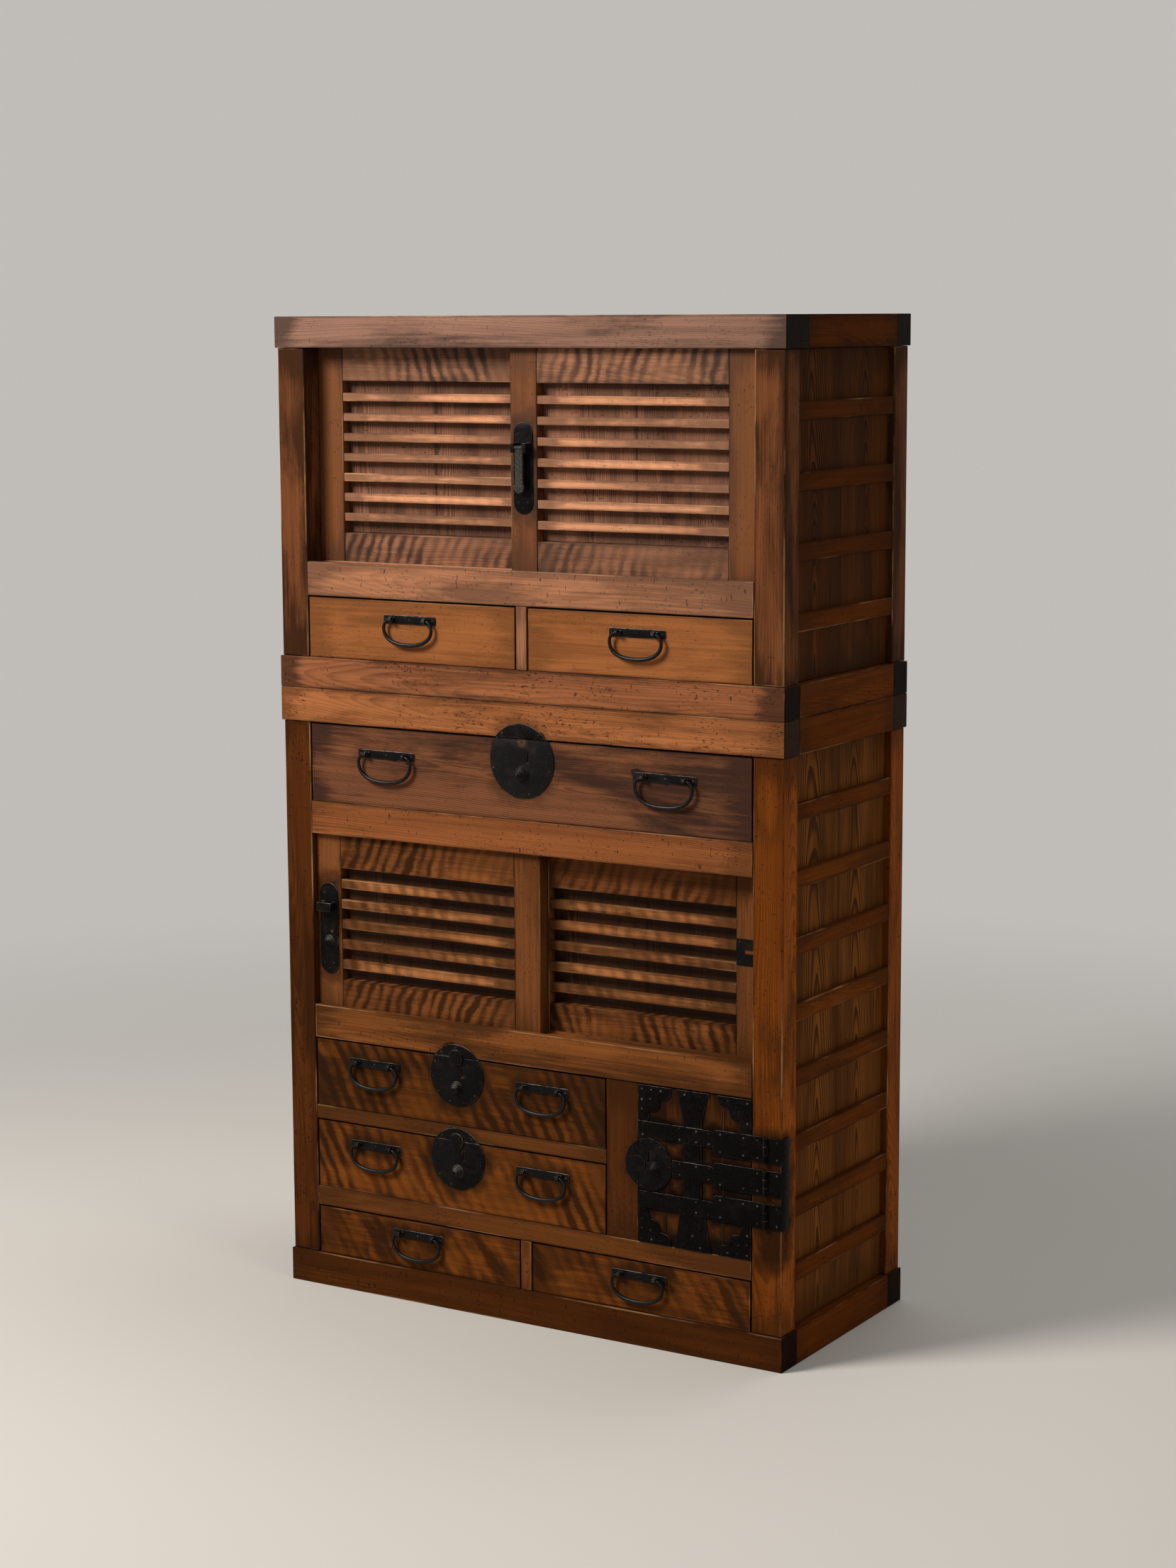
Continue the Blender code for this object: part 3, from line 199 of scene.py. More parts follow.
class Signal:
    """Output of a shader node; arithmetic on it adds the node that works out the result."""

    def __init__(self, nodes, socket):
        self.nodes = nodes
        self.socket = socket

    def math(self, operation, other):
        return self.nodes.math(operation, self, other)

    __add__ = functools.partialmethod(math, "ADD")
    __sub__ = functools.partialmethod(math, "SUBTRACT")
    __mul__ = functools.partialmethod(math, "MULTIPLY")
    __truediv__ = functools.partialmethod(math, "DIVIDE")
    at_least = functools.partialmethod(math, "MAXIMUM")
    at_most = functools.partialmethod(math, "MINIMUM")

    def __rsub__(self, other):
        return self.nodes.math("SUBTRACT", other, self)

    def ramp(self, low, high, out_low=0.0, out_high=1.0, kind="SMOOTHSTEP"):
        inputs = dict(enumerate((self, low, high, out_low, out_high)))
        node = self.nodes.add("ShaderNodeMapRange", inputs, interpolation_type=kind, clamp=True)
        return Signal(self.nodes, node.outputs[0])

    def noise(self, scale, detail=3.0, rough=0.55, distort=0.0):
        inputs = {"Vector": self, "Scale": scale, "Detail": detail, "Roughness": rough, "Distortion": distort}
        return Signal(self.nodes, self.nodes.add("ShaderNodeTexNoise", inputs).outputs["Fac"])


class Nodes:
    """Short way to add and join the nodes of one shader tree."""

    def __init__(self, tree):
        self.tree = tree

    def put(self, socket, value):
        """Link a signal or an output to a socket, or set the socket to a constant."""
        source = value.socket if isinstance(value, Signal) else value
        if isinstance(source, bpy.types.NodeSocket):
            self.tree.links.new(source, socket)
        else:
            socket.default_value = source

    def add(self, kind, inputs=(), **settings):
        """One node with its settings, and its inputs given by label or by place."""
        node = self.tree.nodes.new(kind)
        for key, value in settings.items():
            setattr(node, key, value)
        for label, value in dict(inputs).items():
            self.put(node.inputs[label], value)
        return node

    def math(self, operation, first, second=None):
        """Arithmetic on vectors if the first is one, and else on numbers."""
        on_vectors = isinstance(first, Signal) and first.socket.type == "VECTOR"
        inputs = {0: first} if second is None else {0: first, 1: second}
        kind = "ShaderNodeVectorMath" if on_vectors else "ShaderNodeMath"
        node = self.add(kind, inputs, operation=operation)
        return Signal(self, node.outputs["Value" if operation == "LENGTH" else 0])

    def mix(self, share, first, second, blend="MIX"):
        inputs = {"Factor": share, "A": first, "B": second}
        node = self.add("ShaderNodeMix", inputs, data_type="RGBA", blend_type=blend)
        return Signal(self, node.outputs["Result"])

    def combine(self, x, y, z):
        return Signal(self, self.add("ShaderNodeCombineXYZ", {0: x, 1: y, 2: z}).outputs[0])

    def split(self, vector):
        node = self.add("ShaderNodeSeparateXYZ", {0: vector})
        return [Signal(self, output) for output in node.outputs]

    def attribute(self, name, output="Vector"):
        return Signal(self, self.add("ShaderNodeAttribute", attribute_name=name).outputs[output])

    def place(self):
        return Signal(self, self.add("ShaderNodeTexCoord").outputs["Object"])


def new_group(name, inputs, outputs):
    """Empty node group: its tree, its nodes, its inputs as signals and its output sockets."""
    tree = bpy.data.node_groups.new(name, "ShaderNodeTree")
    for side, sockets in (("INPUT", inputs), ("OUTPUT", outputs)):
        for label, kind in sockets.items():
            tree.interface.new_socket(label, in_out=side, socket_type="NodeSocket" + kind)
    nodes = Nodes(tree)
    sources = nodes.add("NodeGroupInput").outputs
    given = {label: Signal(nodes, sources[label]) for label in inputs}
    return tree, nodes, given, nodes.add("NodeGroupOutput").inputs


SKIN = {"Color": "Color", "Roughness": "Float", "Height": "Float"}
USUAL_WOOD = {
    "stain_amount": 0.5, "stripes": 0.0, "rings": 0.25, "ring_pitch": 2.6 * MM, "wear": 0.6, "pits": 0.5,
    "lean": 0.35, "pitch": 18 * MM, "end_stain": 0.95, "end_drift": 0.14, "ripple": 0.85, "clean_face": 0.0}
END_GRAIN_BLACK = (0.0042, 0.0024, 0.0015, 1.0)
PIT_BLACK = (0.012, 0.007, 0.005, 1.0)
BARE_WOOD = (0.62, 0.36, 0.18, 1.0)
THICKNESS_FACE_LIFT = (2.1, 2.1, 2.1, 1.0)
wood_inputs = {"light": "Color", "dark": "Color", "stain": "Color", "halo": "Float",
               **dict.fromkeys(USUAL_WOOD, "Float")}
aged_wood, n, given, out = new_group("aged_wood", wood_inputs, SKIN)
local, half, seed = [n.attribute(layer) for layer in BOARD_LAYERS]
tone = n.split(seed)[2]
along, across, through = n.split(local)
placed = local + seed * (1.0, 1.0, 7.0)


def drawn_noise(along_scale, across_scale, *settings):
    """Noise drawn out along or across the grain of a board."""
    return (placed * (along_scale, across_scale, across_scale)).noise(1.0, *settings)


# Distance to the nearest edge of a board is the middle one of the three distances to its faces
to_end, to_side, to_face = n.split(half - n.math("ABSOLUTE", local))
edge = to_end.at_most(to_side).at_least(to_end.at_least(to_side).at_most(to_face))
end_grain = to_end.ramp(1.2 * MM, 0.4 * MM)
near_end = to_end.ramp(60 * MM, 4 * MM)
# Growth rings: a wandering distance from a pith line askew behind the board, which draws tall arches
wander = drawn_noise(1.6, 7.0, 2.0)
pith = local + seed * (0.0, 0.003, 0.09) + n.combine(0.0, along * 0.03, along * 0.065)
radius = n.math("LENGTH", pith * (0.0, 1.0, 1.0))
ring_line = n.math("FRACT", (radius + wander * 0.045) / given["ring_pitch"]).ramp(0.35, 0.98)
# Fine fibres and broader streaks drawn out along the grain
fibre = drawn_noise(5.0, 260.0, 4.0, 0.62)
streak = drawn_noise(1.7, 42.0, 3.0, 0.6)
# Ripple figure: slanting flames across the grain that swell, break up and fade
sway = drawn_noise(10.0, 14.0)
rise = across + through
turns = (along + rise * given["lean"] + sway * 0.034 + tone * 0.7) / given["pitch"]
flame_place = n.combine(turns, rise / (given["pitch"] * 2.6), tone * 30.0)
flame = (flame_place.noise(1.0) - 0.5) * 4.0
band = n.math("SINE", turns * (2 * math.pi)) * given["ripple"] + flame
band = (band + (fibre - 0.5) * 0.9).ramp(-1.05, 1.15)
band_patch = placed.noise(7.0, 2.0).ramp(0.32, 0.60, 0.20, 1.0)
stripe = band * band_patch * given["stripes"]
shade = streak * 0.72 + fibre * 0.48 + ring_line * given["rings"] + tone * 0.28
base = n.mix(shade.ramp(0.35, 1.15, kind="LINEAR"), given["light"], given["dark"])
base = n.mix(stripe * 0.92, base, n.mix(0.75, given["dark"], given["stain"]))
# Faces across a board's thickness are made lighter, by as much as the finish asks
base = n.mix(to_face.ramp(2.2 * MM, 0.6 * MM) * given["clean_face"], base, THICKNESS_FACE_LIFT, "MULTIPLY")
# Old stain gathers in drifts along the grain, at board ends and around ironwork. The darkening along the
# edges is partly grime and partly painted shade of the gaps between parts
cloud = drawn_noise(3.2, 17.0, 5.0, 0.62, 0.4)
drift = cloud + near_end * given["end_drift"] + (fibre - 0.5) * 0.22 + edge.ramp(10 * MM, 0.0) * 0.06
soot = given["halo"] * (streak + given["halo"] * 0.8).ramp(0.35, 0.9)
stain = (drift.ramp(0.44, 0.66) * given["stain_amount"]).at_least(soot * 0.94)
# Painted shade: a dark line along every edge stands for the shadow in the gaps between parts, as well as
# grime
grime_and_gap_shade = edge.ramp(5 * MM, 0.6 * MM) * cloud.ramp(0.30, 0.58, 0.40, 1.0)
stain = stain.at_least(grime_and_gap_shade * (given["stain_amount"] * 0.6 + 0.42))
stained = n.mix(stain, base, given["stain"])
stained = n.mix(end_grain * given["end_stain"], stained, END_GRAIN_BLACK)
# Dents and worm flecks, longer along the grain
fleck = drawn_noise(150.0, 430.0, 2.0, 0.5).ramp(0.61, 0.68) * placed.noise(12.0, 2.0).ramp(0.42, 0.66)
nick = drawn_noise(330.0, 95.0, 1.0, 0.4).ramp(0.715, 0.745)
pit = fleck.at_least(nick * 0.8) * given["pits"]
pitted = n.mix(pit * 0.92, stained, PIT_BLACK)
# Handling wears the arrises back to pale wood, in broken lengths
chafe = drawn_noise(5.0, 16.0, 4.0, 0.6).ramp(0.48, 0.70)
rub = edge.ramp(2.6 * MM, 0.3 * MM) * chafe * given["wear"] * (1.0 - end_grain)
n.put(out["Color"], n.mix(rub * 0.72, pitted, n.mix(0.55, given["light"], BARE_WOOD)))
n.put(out["Roughness"], streak * 0.16 + stain * -0.06 + 0.40 + rub * 0.14)
n.put(out["Height"], fibre * 0.30 + ring_line * (given["rings"] * 0.30) - pit * 1.3)

# Soot and oil gathered in the wood around a piece of iron: a box in x and z, rounded out by a radius
MARK = {"centre": "Vector", "half": "Vector", "radius": "Float", "reach": "Float", "ragged": "Float"}
iron_halo, n, given, out = new_group("iron_halo", MARK, {"Mask": "Float"})
spot = n.place()
beyond = n.math("ABSOLUTE", spot - given["centre"]) - given["half"]
away = n.math("LENGTH", beyond.at_least((0.0, 0.0, 0.0))) - given["radius"]
ragged = (spot.noise(28.0, 4.0) - 0.5) * given["ragged"]
n.put(out["Mask"], (away + ragged).ramp(given["reach"], given["reach"] * -0.13))

THIN_VARNISH = 1.22
WOOD_RELIEF = {"Strength": 0.35, "Distance": 0.6 * MM}
WARM_STAIN = (0.022, 0.0085, 0.003)
SMOKE_STAIN = (0.024, 0.013, 0.0095)
GREY_STAIN = (0.050, 0.032, 0.026)


def new_material(name):
    material = bpy.data.materials.new(name)
    material.use_nodes = True
    return material, Nodes(material.node_tree)


def mark_mask(nodes, *values):
    """Mask of one mark from its centre, half size, radius, reach and raggedness."""
    mark = nodes.add("ShaderNodeGroup", dict(zip(MARK, values)), node_tree=iron_halo)
    return Signal(nodes, mark.outputs["Mask"])


def dress(nodes, skin, colour, relief, constants):
    """Lead a skin's colour, roughness and relief into its material's own shader."""
    shader = nodes.tree.nodes["Principled BSDF"]
    bump = nodes.add("ShaderNodeBump", {**relief, "Height": skin.outputs["Height"]})
    led = {"Base Color": colour, "Roughness": skin.outputs["Roughness"], "Normal": bump.outputs[0]}
    for label, value in {**led, **constants}.items():
        nodes.put(shader.inputs[label], value)


def wood_material(name, light, dark, stain=WARM_STAIN, halos=(), soot=0.55, soot_reach=30 * MM, gloss=0.3,
                  **finish):
    """Varnished old wood; halos are (centre, half size, radius) of the ironwork that darkens it."""
    material, nodes = new_material(name)
    colours = {"light": (*light, 1.0), "dark": (*dark, 1.0), "stain": (*stain, 1.0)}
    inputs = {**USUAL_WOOD, **finish, **colours}
    if halos:
        masks = [mark_mask(nodes, *mark, soot_reach, soot_reach * 5 / 3) for mark in halos]
        mask = functools.reduce(Signal.at_least, masks)
        inputs["halo"] = (mask * soot).at_least(mask.ramp(0.97, 1.0))
    skin = nodes.add("ShaderNodeGroup", inputs, node_tree=aged_wood)
    dress(nodes, skin, skin.outputs["Color"], WOOD_RELIEF, {"IOR": THIN_VARNISH, "Specular IOR Level": gloss})
    return material


# Case frames: four joined frames, at the floor, on both sides of the split and at the top. Long front and
# rear rails run through to the sides, where their dark end grain shows, with shorter side rails between them
# and planks flush with the top. The top frame's front rail is grooved underneath for the upper doors.
RAIL_DEPTH = 46 * MM
SIDE_RAIL_WIDTH = 34 * MM
FRAME_BOARD = 12 * MM
FRAME_PLANKS = 3
PLANK_ROUND = 0.6 * MM
DOOR_FACES = (14 * MM, 39 * MM)
DOOR_THICKNESS = 21 * MM
GROOVE_CLEARANCE = 0.5 * MM
TRACK_DEPTH = 66.5 * MM
HEAD_GROOVE = 10 * MM
SILL_GROOVE = 3 * MM
RUNNER_ROUND = 0.3 * MM
STOP_ROUND = 0.2 * MM
WIDE_LOCK_RADIUS = 56 * MM
HALO_DEPTH = Vector((0.0, 40 * MM, 0.0))
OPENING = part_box("lower_side_right")[0].x
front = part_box("lower_base_frame")[0].y
rail_back = front + RAIL_DEPTH
track_back = front + TRACK_DEPTH
grooves = [(front + face - GROOVE_CLEARANCE, front + face + DOOR_THICKNESS + GROOVE_CLEARANCE)
           for face in DOOR_FACES]


def grooved_outline(face, grooved, plain, depth):
    """Cross-section of a rail with two door grooves, cut by a depth from its grooved level."""
    outline = [(face, grooved)]
    for start, stop in grooves:
        outline += [(start, grooved), (start, grooved + depth), (stop, grooved + depth), (stop, grooved)]
    return outline + [(track_back, grooved), (track_back, plain), (face, plain)]


def add_stopped_head(mesh, low, high):
    """Full-width head rail whose grooves stop at the posts: a rebated rail, two runners and solid ends."""
    roof = low.z + HEAD_GROOVE
    (lip, fore_stop), (rear_start, rear_stop) = grooves
    add_rail(mesh, (low.x, high.x), [(low.y, low.z), (lip, low.z), (lip, roof), (track_back, roof),
                                     (track_back, high.z), (low.y, high.z)])
    for start, stop in ((fore_stop, rear_start), (rear_stop, track_back)):
        add_board(mesh, (-OPENING, start, low.z), (OPENING, stop, roof), "x", RUNNER_ROUND)
    for left, right in ((low.x, -OPENING), (OPENING, high.x)):
        add_board(mesh, (left, lip, low.z), (right, track_back, roof), "x", STOP_ROUND)


def case_frame(node, body, material, side_material, board_material, grooved=False):
    low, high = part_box(node)
    fore = track_back if grooved else rail_back
    back = high.y - RAIL_DEPTH
    mesh = wood_mesh()
    if grooved:
        add_stopped_head(mesh, low, high)
    else:
        add_board(mesh, low, (high.x, fore, high.z), "x")
    add_board(mesh, (low.x, back, low.z), high, "x")
    finish_piece(node + "_timber", mesh, material, body, [node])
    rails = [((x, fore, low.z), (x + SIDE_RAIL_WIDTH, back, high.z), "y")
             for x in (low.x, high.x - SIDE_RAIL_WIDTH)]
    wood_piece(node + "_side_rails", rails, side_material, body, node)
    planks = [((low.x + SIDE_RAIL_WIDTH, start, high.z - FRAME_BOARD),
               (high.x - SIDE_RAIL_WIDTH, stop, high.z), "x", PLANK_ROUND)
              for start, stop in even_spans(fore, back, FRAME_PLANKS)]
    wood_piece(node + "_boards", planks, board_material, body, node)


def disc_halo(node, radius):
    """Middle and radius of a round lock, for the dark mark its iron leaves in the wood around it."""
    low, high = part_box(node)
    return (Vector(((low.x + high.x) / 2, (low.y + high.y) / 2, low.z + radius)), HALO_DEPTH, radius)


# Painted sheen: the top frame's pinkish grey carries the soft sheen of its varnish in the colour, its gloss
# kept low
top_wood = wood_material(
    "top_frame_wood", (0.37, 0.200, 0.142), (0.125, 0.066, 0.048), stain_amount=0.85, rings=0.15, wear=1.0,
    stain=GREY_STAIN, end_drift=0.25, gloss=0.08)
middle_wood = wood_material(
    "middle_frame_wood", (0.37, 0.135, 0.055), (0.095, 0.033, 0.016), stain_amount=0.75, rings=0.2,
    wear=0.8, pits=1.0, stain=SMOKE_STAIN, end_drift=0.35, gloss=0.06)
lower_top_wood = wood_material(
    "lower_top_frame_wood", (0.41, 0.150, 0.053), (0.12, 0.041, 0.016), stain_amount=0.50, rings=0.2,
    wear=0.9, pits=1.0, end_stain=0.85, gloss=0.1,
    halos=[disc_halo("wide_drawer_lock_plate", WIDE_LOCK_RADIUS)])
base_wood = wood_material(
    "base_frame_wood", (0.104, 0.031, 0.006), (0.040, 0.012, 0.003), stain_amount=0.4, rings=0.22, wear=1.0,
    pits=1.0, end_stain=0.8, gloss=0.05)
top_side_wood = wood_material(
    "top_side_rail_wood", (0.120, 0.031, 0.004), (0.040, 0.010, 0.002), stain_amount=0.6, rings=0.2,
    wear=0.8, pits=1.0, gloss=0.03)
side_rail_wood = wood_material(
    "frame_side_rail_wood", (0.190, 0.050, 0.006), (0.075, 0.019, 0.002), stain_amount=0.45, rings=0.2,
    wear=0.9, pits=1.0, gloss=0.03)
top_board_wood = wood_material(
    "top_board_wood", (0.32, 0.146, 0.082), (0.112, 0.047, 0.028), stain_amount=0.62, rings=0.35, wear=0.0,
    stain=SMOKE_STAIN, gloss=0.7)
inner_board_wood = wood_material(
    "inner_board_wood", (0.27, 0.140, 0.065), (0.120, 0.058, 0.027), stain_amount=0.35, rings=0.5, wear=0.0)
case_frame("upper_top_frame", "upper_case", top_wood, top_side_wood, top_board_wood, grooved=True)
case_frame("upper_base_frame", "upper_case", middle_wood, side_rail_wood, inner_board_wood)
case_frame("lower_top_frame", "lower_case", lower_top_wood, side_rail_wood, inner_board_wood)
case_frame("lower_base_frame", "lower_case", base_wood, side_rail_wood, inner_board_wood)

# Case sides: square front and rear posts with a thin panel of upright cedar boards let in between them, and
# level battens nailed across the panel. The panels show the tall arched figure of flat-sawn softwood.
POST_DEPTH = 44 * MM
POST_ROUND = 1.8 * MM
PANEL_RECESS = 11 * MM
PANEL_THICKNESS = 8 * MM
PANEL_BOARDS = 2
BATTEN_HEIGHT = 26 * MM
BATTEN_SETBACK = 1.5 * MM
UPPER_BATTENS = 4
LOWER_BATTENS = 8
FIT = 0.3 * MM
HINGE_SOOT = 12 * MM
SCORCH_SHIFT = Vector((-18 * MM, 0.0, -22 * MM))
SCORCH_HALF = Vector((10 * MM, 20 * MM, 20 * MM))
SCORCH_ROUND = 8 * MM


def level_spans(low, high, count, height):
    """Heights of level bars of one size, spaced evenly between two levels."""
    space = (high - low - count * height) / (count + 1)
    levels = [low + space + index * (space + height) for index in range(count)]
    return [(level, level + height) for level in levels]


def case_side(node, body, battens, post_material, batten_material, panel_material):
    low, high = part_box(node)
    side = 1 if high.x > 0 else -1
    outer = max(abs(low.x), abs(high.x))
    fore = low.y + POST_DEPTH
    back = high.y - POST_DEPTH

    def span(near, far):
        """Left and right of a board, from its distances to the middle of the chest."""
        return sorted((side * near, side * far))

    posts = [(low, (high.x, fore, high.z), "z", POST_ROUND), ((low.x, back, low.z), high, "z", POST_ROUND)]
    wood_piece(node + "_posts", posts, post_material, body, node)
    left, right = span(outer - PANEL_RECESS + FIT, outer - BATTEN_SETBACK)
    bars = [((left, fore, start), (right, back, stop), "y")
            for start, stop in level_spans(low.z, high.z, battens, BATTEN_HEIGHT)]
    wood_piece(node + "_battens", bars, batten_material, body, node)
    left, right = span(outer - PANEL_RECESS - PANEL_THICKNESS, outer - PANEL_RECESS)
    boards = [((left, start, low.z), (right, stop, high.z), "z", THIN_ROUND)
              for start, stop in even_spans(fore, back, PANEL_BOARDS)]
    wood_piece(node + "_panel", boards, panel_material, body, node)


hinge_low, hinge_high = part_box("safe_hinge_plate")
strap_start = Vector((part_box("safe_door_planks")[1].x, hinge_low.y, hinge_low.z))
hinge_foot = Vector((hinge_high.x, hinge_low.y, hinge_low.z))
halo_core = Vector((HINGE_SOOT, 0.0, HINGE_SOOT))
hinge_halo = [((strap_start + hinge_high) / 2, (hinge_high - strap_start) / 2 - halo_core, HINGE_SOOT),
              (hinge_foot + SCORCH_SHIFT, SCORCH_HALF, SCORCH_ROUND)]
post_wood = wood_material(
    "post_wood", (0.205, 0.055, 0.007), (0.070, 0.018, 0.003), stain_amount=0.62, rings=0.3, wear=1.4,
    pits=0.8, clean_face=1.0, halos=hinge_halo, soot=0.9, gloss=0.05)
soiled_post_wood = wood_material(
    "soiled_post_wood", (0.104, 0.030, 0.006), (0.034, 0.010, 0.003), stain_amount=0.7, rings=0.3, wear=1.4,
    pits=1.0, gloss=0.05)
batten_wood = wood_material(
    "batten_wood", (0.205, 0.056, 0.006), (0.075, 0.019, 0.002), stain_amount=0.5, rings=0.25, wear=1.4,
    pits=0.8, gloss=0.03)
upper_batten_wood = wood_material(
    "upper_batten_wood", (0.150, 0.038, 0.004), (0.055, 0.014, 0.002), stain_amount=0.5, rings=0.25,
    wear=1.2, pits=0.8, gloss=0.03)
upper_post_wood = wood_material(
    "upper_post_wood", (0.22, 0.078, 0.028), (0.085, 0.029, 0.012), stain_amount=0.85, rings=0.15, wear=1.6,
    stain=(0.023, 0.010, 0.005), gloss=0.05)
upper_panel_wood = wood_material(
    "upper_side_panel_wood", (0.13, 0.042, 0.008), (0.026, 0.009, 0.003), stain_amount=0.62, rings=0.62,
    ring_pitch=3.1 * MM, wear=0.1, pits=0.2, gloss=0.04)
panel_wood = wood_material(
    "lower_side_panel_wood", (0.29, 0.100, 0.018), (0.062, 0.021, 0.005), stain_amount=0.45, rings=0.62,
    ring_pitch=3.1 * MM, wear=0.1, pits=0.2, gloss=0.04)
for side_name, lower_post_wood in (("left", soiled_post_wood), ("right", post_wood)):
    case_side("upper_side_" + side_name, "upper_case", UPPER_BATTENS,
              upper_post_wood, upper_batten_wood, upper_panel_wood)
    case_side("lower_side_" + side_name, "lower_case", LOWER_BATTENS,
              lower_post_wood, batten_wood, panel_wood)

# Case backs: thin upright boards nailed into the frames at the back of each section. They were never meant
# to be seen, so they are left rough and unvarnished.
BACK_BOARDS = 4
BACK_ROUND = 1.4 * MM
back_wood = wood_material(
    "back_wood", (0.27, 0.140, 0.065), (0.120, 0.058, 0.027), stain_amount=0.45, rings=0.6, wear=0.3,
    pits=0.8)
for node, body in (("upper_back", "upper_case"), ("lower_back", "lower_case")):
    low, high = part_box(node)
    boards = [((start, low.y, low.z), (stop, high.y, high.z), "z", BACK_ROUND)
              for start, stop in even_spans(low.x, high.x, BACK_BOARDS)]
    wood_piece(node + "_boards", boards, back_wood, body, node)

# Shelves and rails across the front: thick rails between the posts with thin shelf boards behind them. The
# two sills and the shelf over the lower doors carry the door grooves. Short dividers part paired drawers.
SHELF_BOARD = 10 * MM
SHELF_PLANKS = 2
DIVIDER_WIDTH = 18 * MM
POST_BACK = 47.3 * MM
REAR_POST_FRONT = 347.7 * MM
OVER_DRAWER = 1.2 * MM
LEAST_DIVIDER = 1 * MM
LOCK_RADIUS = 48.5 * MM
inside = OPENING - FIT
shelf_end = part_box("lower_back")[0].y - FIT


def add_shelf(mesh, rail_end, top, reach):
    """Thin boards behind a rail, widened between the posts to meet the side panels."""
    bottom = top - SHELF_BOARD
    stop = front + REAR_POST_FRONT
    for fore, back in even_spans(max(rail_end, front + POST_BACK), stop, SHELF_PLANKS):
        add_board(mesh, (-reach, fore, bottom), (reach, back, top), "x", THIN_ROUND)
    add_board(mesh, (-inside, stop, bottom), (inside, shelf_end, top), "x", THIN_ROUND)


def add_divider(mesh, low_z, high_z, face):
    """Upright divider between two drawers: a front stub with a thin partition behind it."""
    half_width = DIVIDER_WIDTH / 2
    add_board(mesh, (-half_width, face, low_z), (half_width, rail_back, high_z), "z")
    add_board(mesh, (-half_width, rail_back, low_z), (half_width, shelf_end, high_z), "y", THIN_ROUND)


def rail_with_shelf(node, body, material, shape, drawer_below=None):
    """Rail, shelf and, over a pair of drawers, the divider that hangs between them."""
    low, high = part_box(node)
    rail_low = low.z if drawer_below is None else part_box(drawer_below)[1].z + OVER_DRAWER
    mesh = wood_mesh()
    if shape == "plain":
        add_board(mesh, (-inside, low.y, rail_low), (inside, rail_back, high.z), "x")
    elif shape == "head":
        add_rail(mesh, (-inside, inside), grooved_outline(low.y, rail_low, high.z, HEAD_GROOVE))
    else:
        add_rail(mesh, (-inside, inside), grooved_outline(low.y, high.z, rail_low, -SILL_GROOVE))
    add_shelf(mesh, rail_back if shape == "plain" else track_back, high.z, high.x)
    if rail_low > low.z + LEAST_DIVIDER:
        add_divider(mesh, low.z, rail_low, low.y)
    finish_piece(node + "_timber", mesh, material, body, [node])


sill_wood = wood_material(
    "upper_sill_wood", (0.42, 0.178, 0.086), (0.17, 0.066, 0.032), stain_amount=0.55, rings=0.2, wear=1.0,
    pits=1.0, stain=SMOKE_STAIN, gloss=0.7)
shelf_wood = wood_material(
    "shelf_rail_wood", (0.38, 0.128, 0.038), (0.14, 0.043, 0.013), stain_amount=0.48, rings=0.25, wear=1.0,
    pits=1.0)
lower_sill_wood = wood_material(
    "lower_sill_wood", (0.29, 0.098, 0.024), (0.100, 0.032, 0.008), stain_amount=0.68, rings=0.18, wear=1.0,
    pits=1.0, gloss=0.15, halos=[disc_halo("upper_lock_drawer_lock_plate", LOCK_RADIUS)])
cross_wood = wood_material(
    "cross_rail_wood", (0.205, 0.066, 0.013), (0.080, 0.025, 0.006), stain_amount=0.5, rings=0.15, wear=1.0,
    pits=1.0, gloss=0.15)
rail_with_shelf("upper_door_sill", "upper_case", sill_wood, "sill", "upper_left_drawer")
rail_with_shelf("lower_shelf", "lower_case", shelf_wood, "head")
rail_with_shelf("lower_door_sill", "lower_case", lower_sill_wood, "sill")
rail_with_shelf("lower_cross_rail", "lower_case", cross_wood, "plain", "bottom_left_drawer")

# Safe divider: a broad upright between the two lock drawers and the safe, with a partition behind it and
# the thin rail and shelf that part those drawers.
LOCK_RAIL_DEPTH = 40 * MM
SAFE_DIVIDER_WIDTH = 54.5 * MM
PARTITION = 12 * MM
SAFE_LOCK_RADIUS = 39.7 * MM
safe_lock_low, safe_lock_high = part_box("safe_lock_plate")
safe_lock_middle = Vector((safe_lock_high.x - SAFE_LOCK_RADIUS, safe_lock_high.y,
                           (safe_lock_low.z + safe_lock_high.z) / 2))
safe_lock_halo = (safe_lock_middle, HALO_DEPTH, SAFE_LOCK_RADIUS)
safe_frame_wood = wood_material(
    "safe_divider_wood", (0.135, 0.040, 0.008), (0.050, 0.015, 0.004), stain_amount=0.55, rings=0.22,
    wear=0.9, pits=0.8, gloss=0.08, halos=[safe_lock_halo])
lock_rail_wood = wood_material(
    "lock_drawer_rail_wood", (0.20, 0.066, 0.014), (0.080, 0.026, 0.006), stain_amount=0.48, rings=0.22,
    wear=0.9, pits=0.8, gloss=0.15, halos=[disc_halo("lower_lock_drawer_lock_plate", LOCK_RADIUS)])
low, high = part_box("safe_divider")
bay_right = high.x - SAFE_DIVIDER_WIDTH
under_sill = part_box("lower_door_sill")[0].z - FIT
boards = [((bay_right, low.y, low.z), (high.x, rail_back, under_sill), "z"),
          ((bay_right, rail_back, low.z), (bay_right + PARTITION, track_back, under_sill), "z", THIN_ROUND),
          ((bay_right, track_back, low.z), (bay_right + PARTITION, high.y, high.z), "y", THIN_ROUND)]
wood_piece("safe_divider_timber", boards, safe_frame_wood, "lower_case", "safe_divider")
lock_rail_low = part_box("lower_lock_drawer")[1].z + OVER_DRAWER
lock_rail_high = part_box("upper_lock_drawer")[0].z - FIT
lock_rail_back = front + LOCK_RAIL_DEPTH
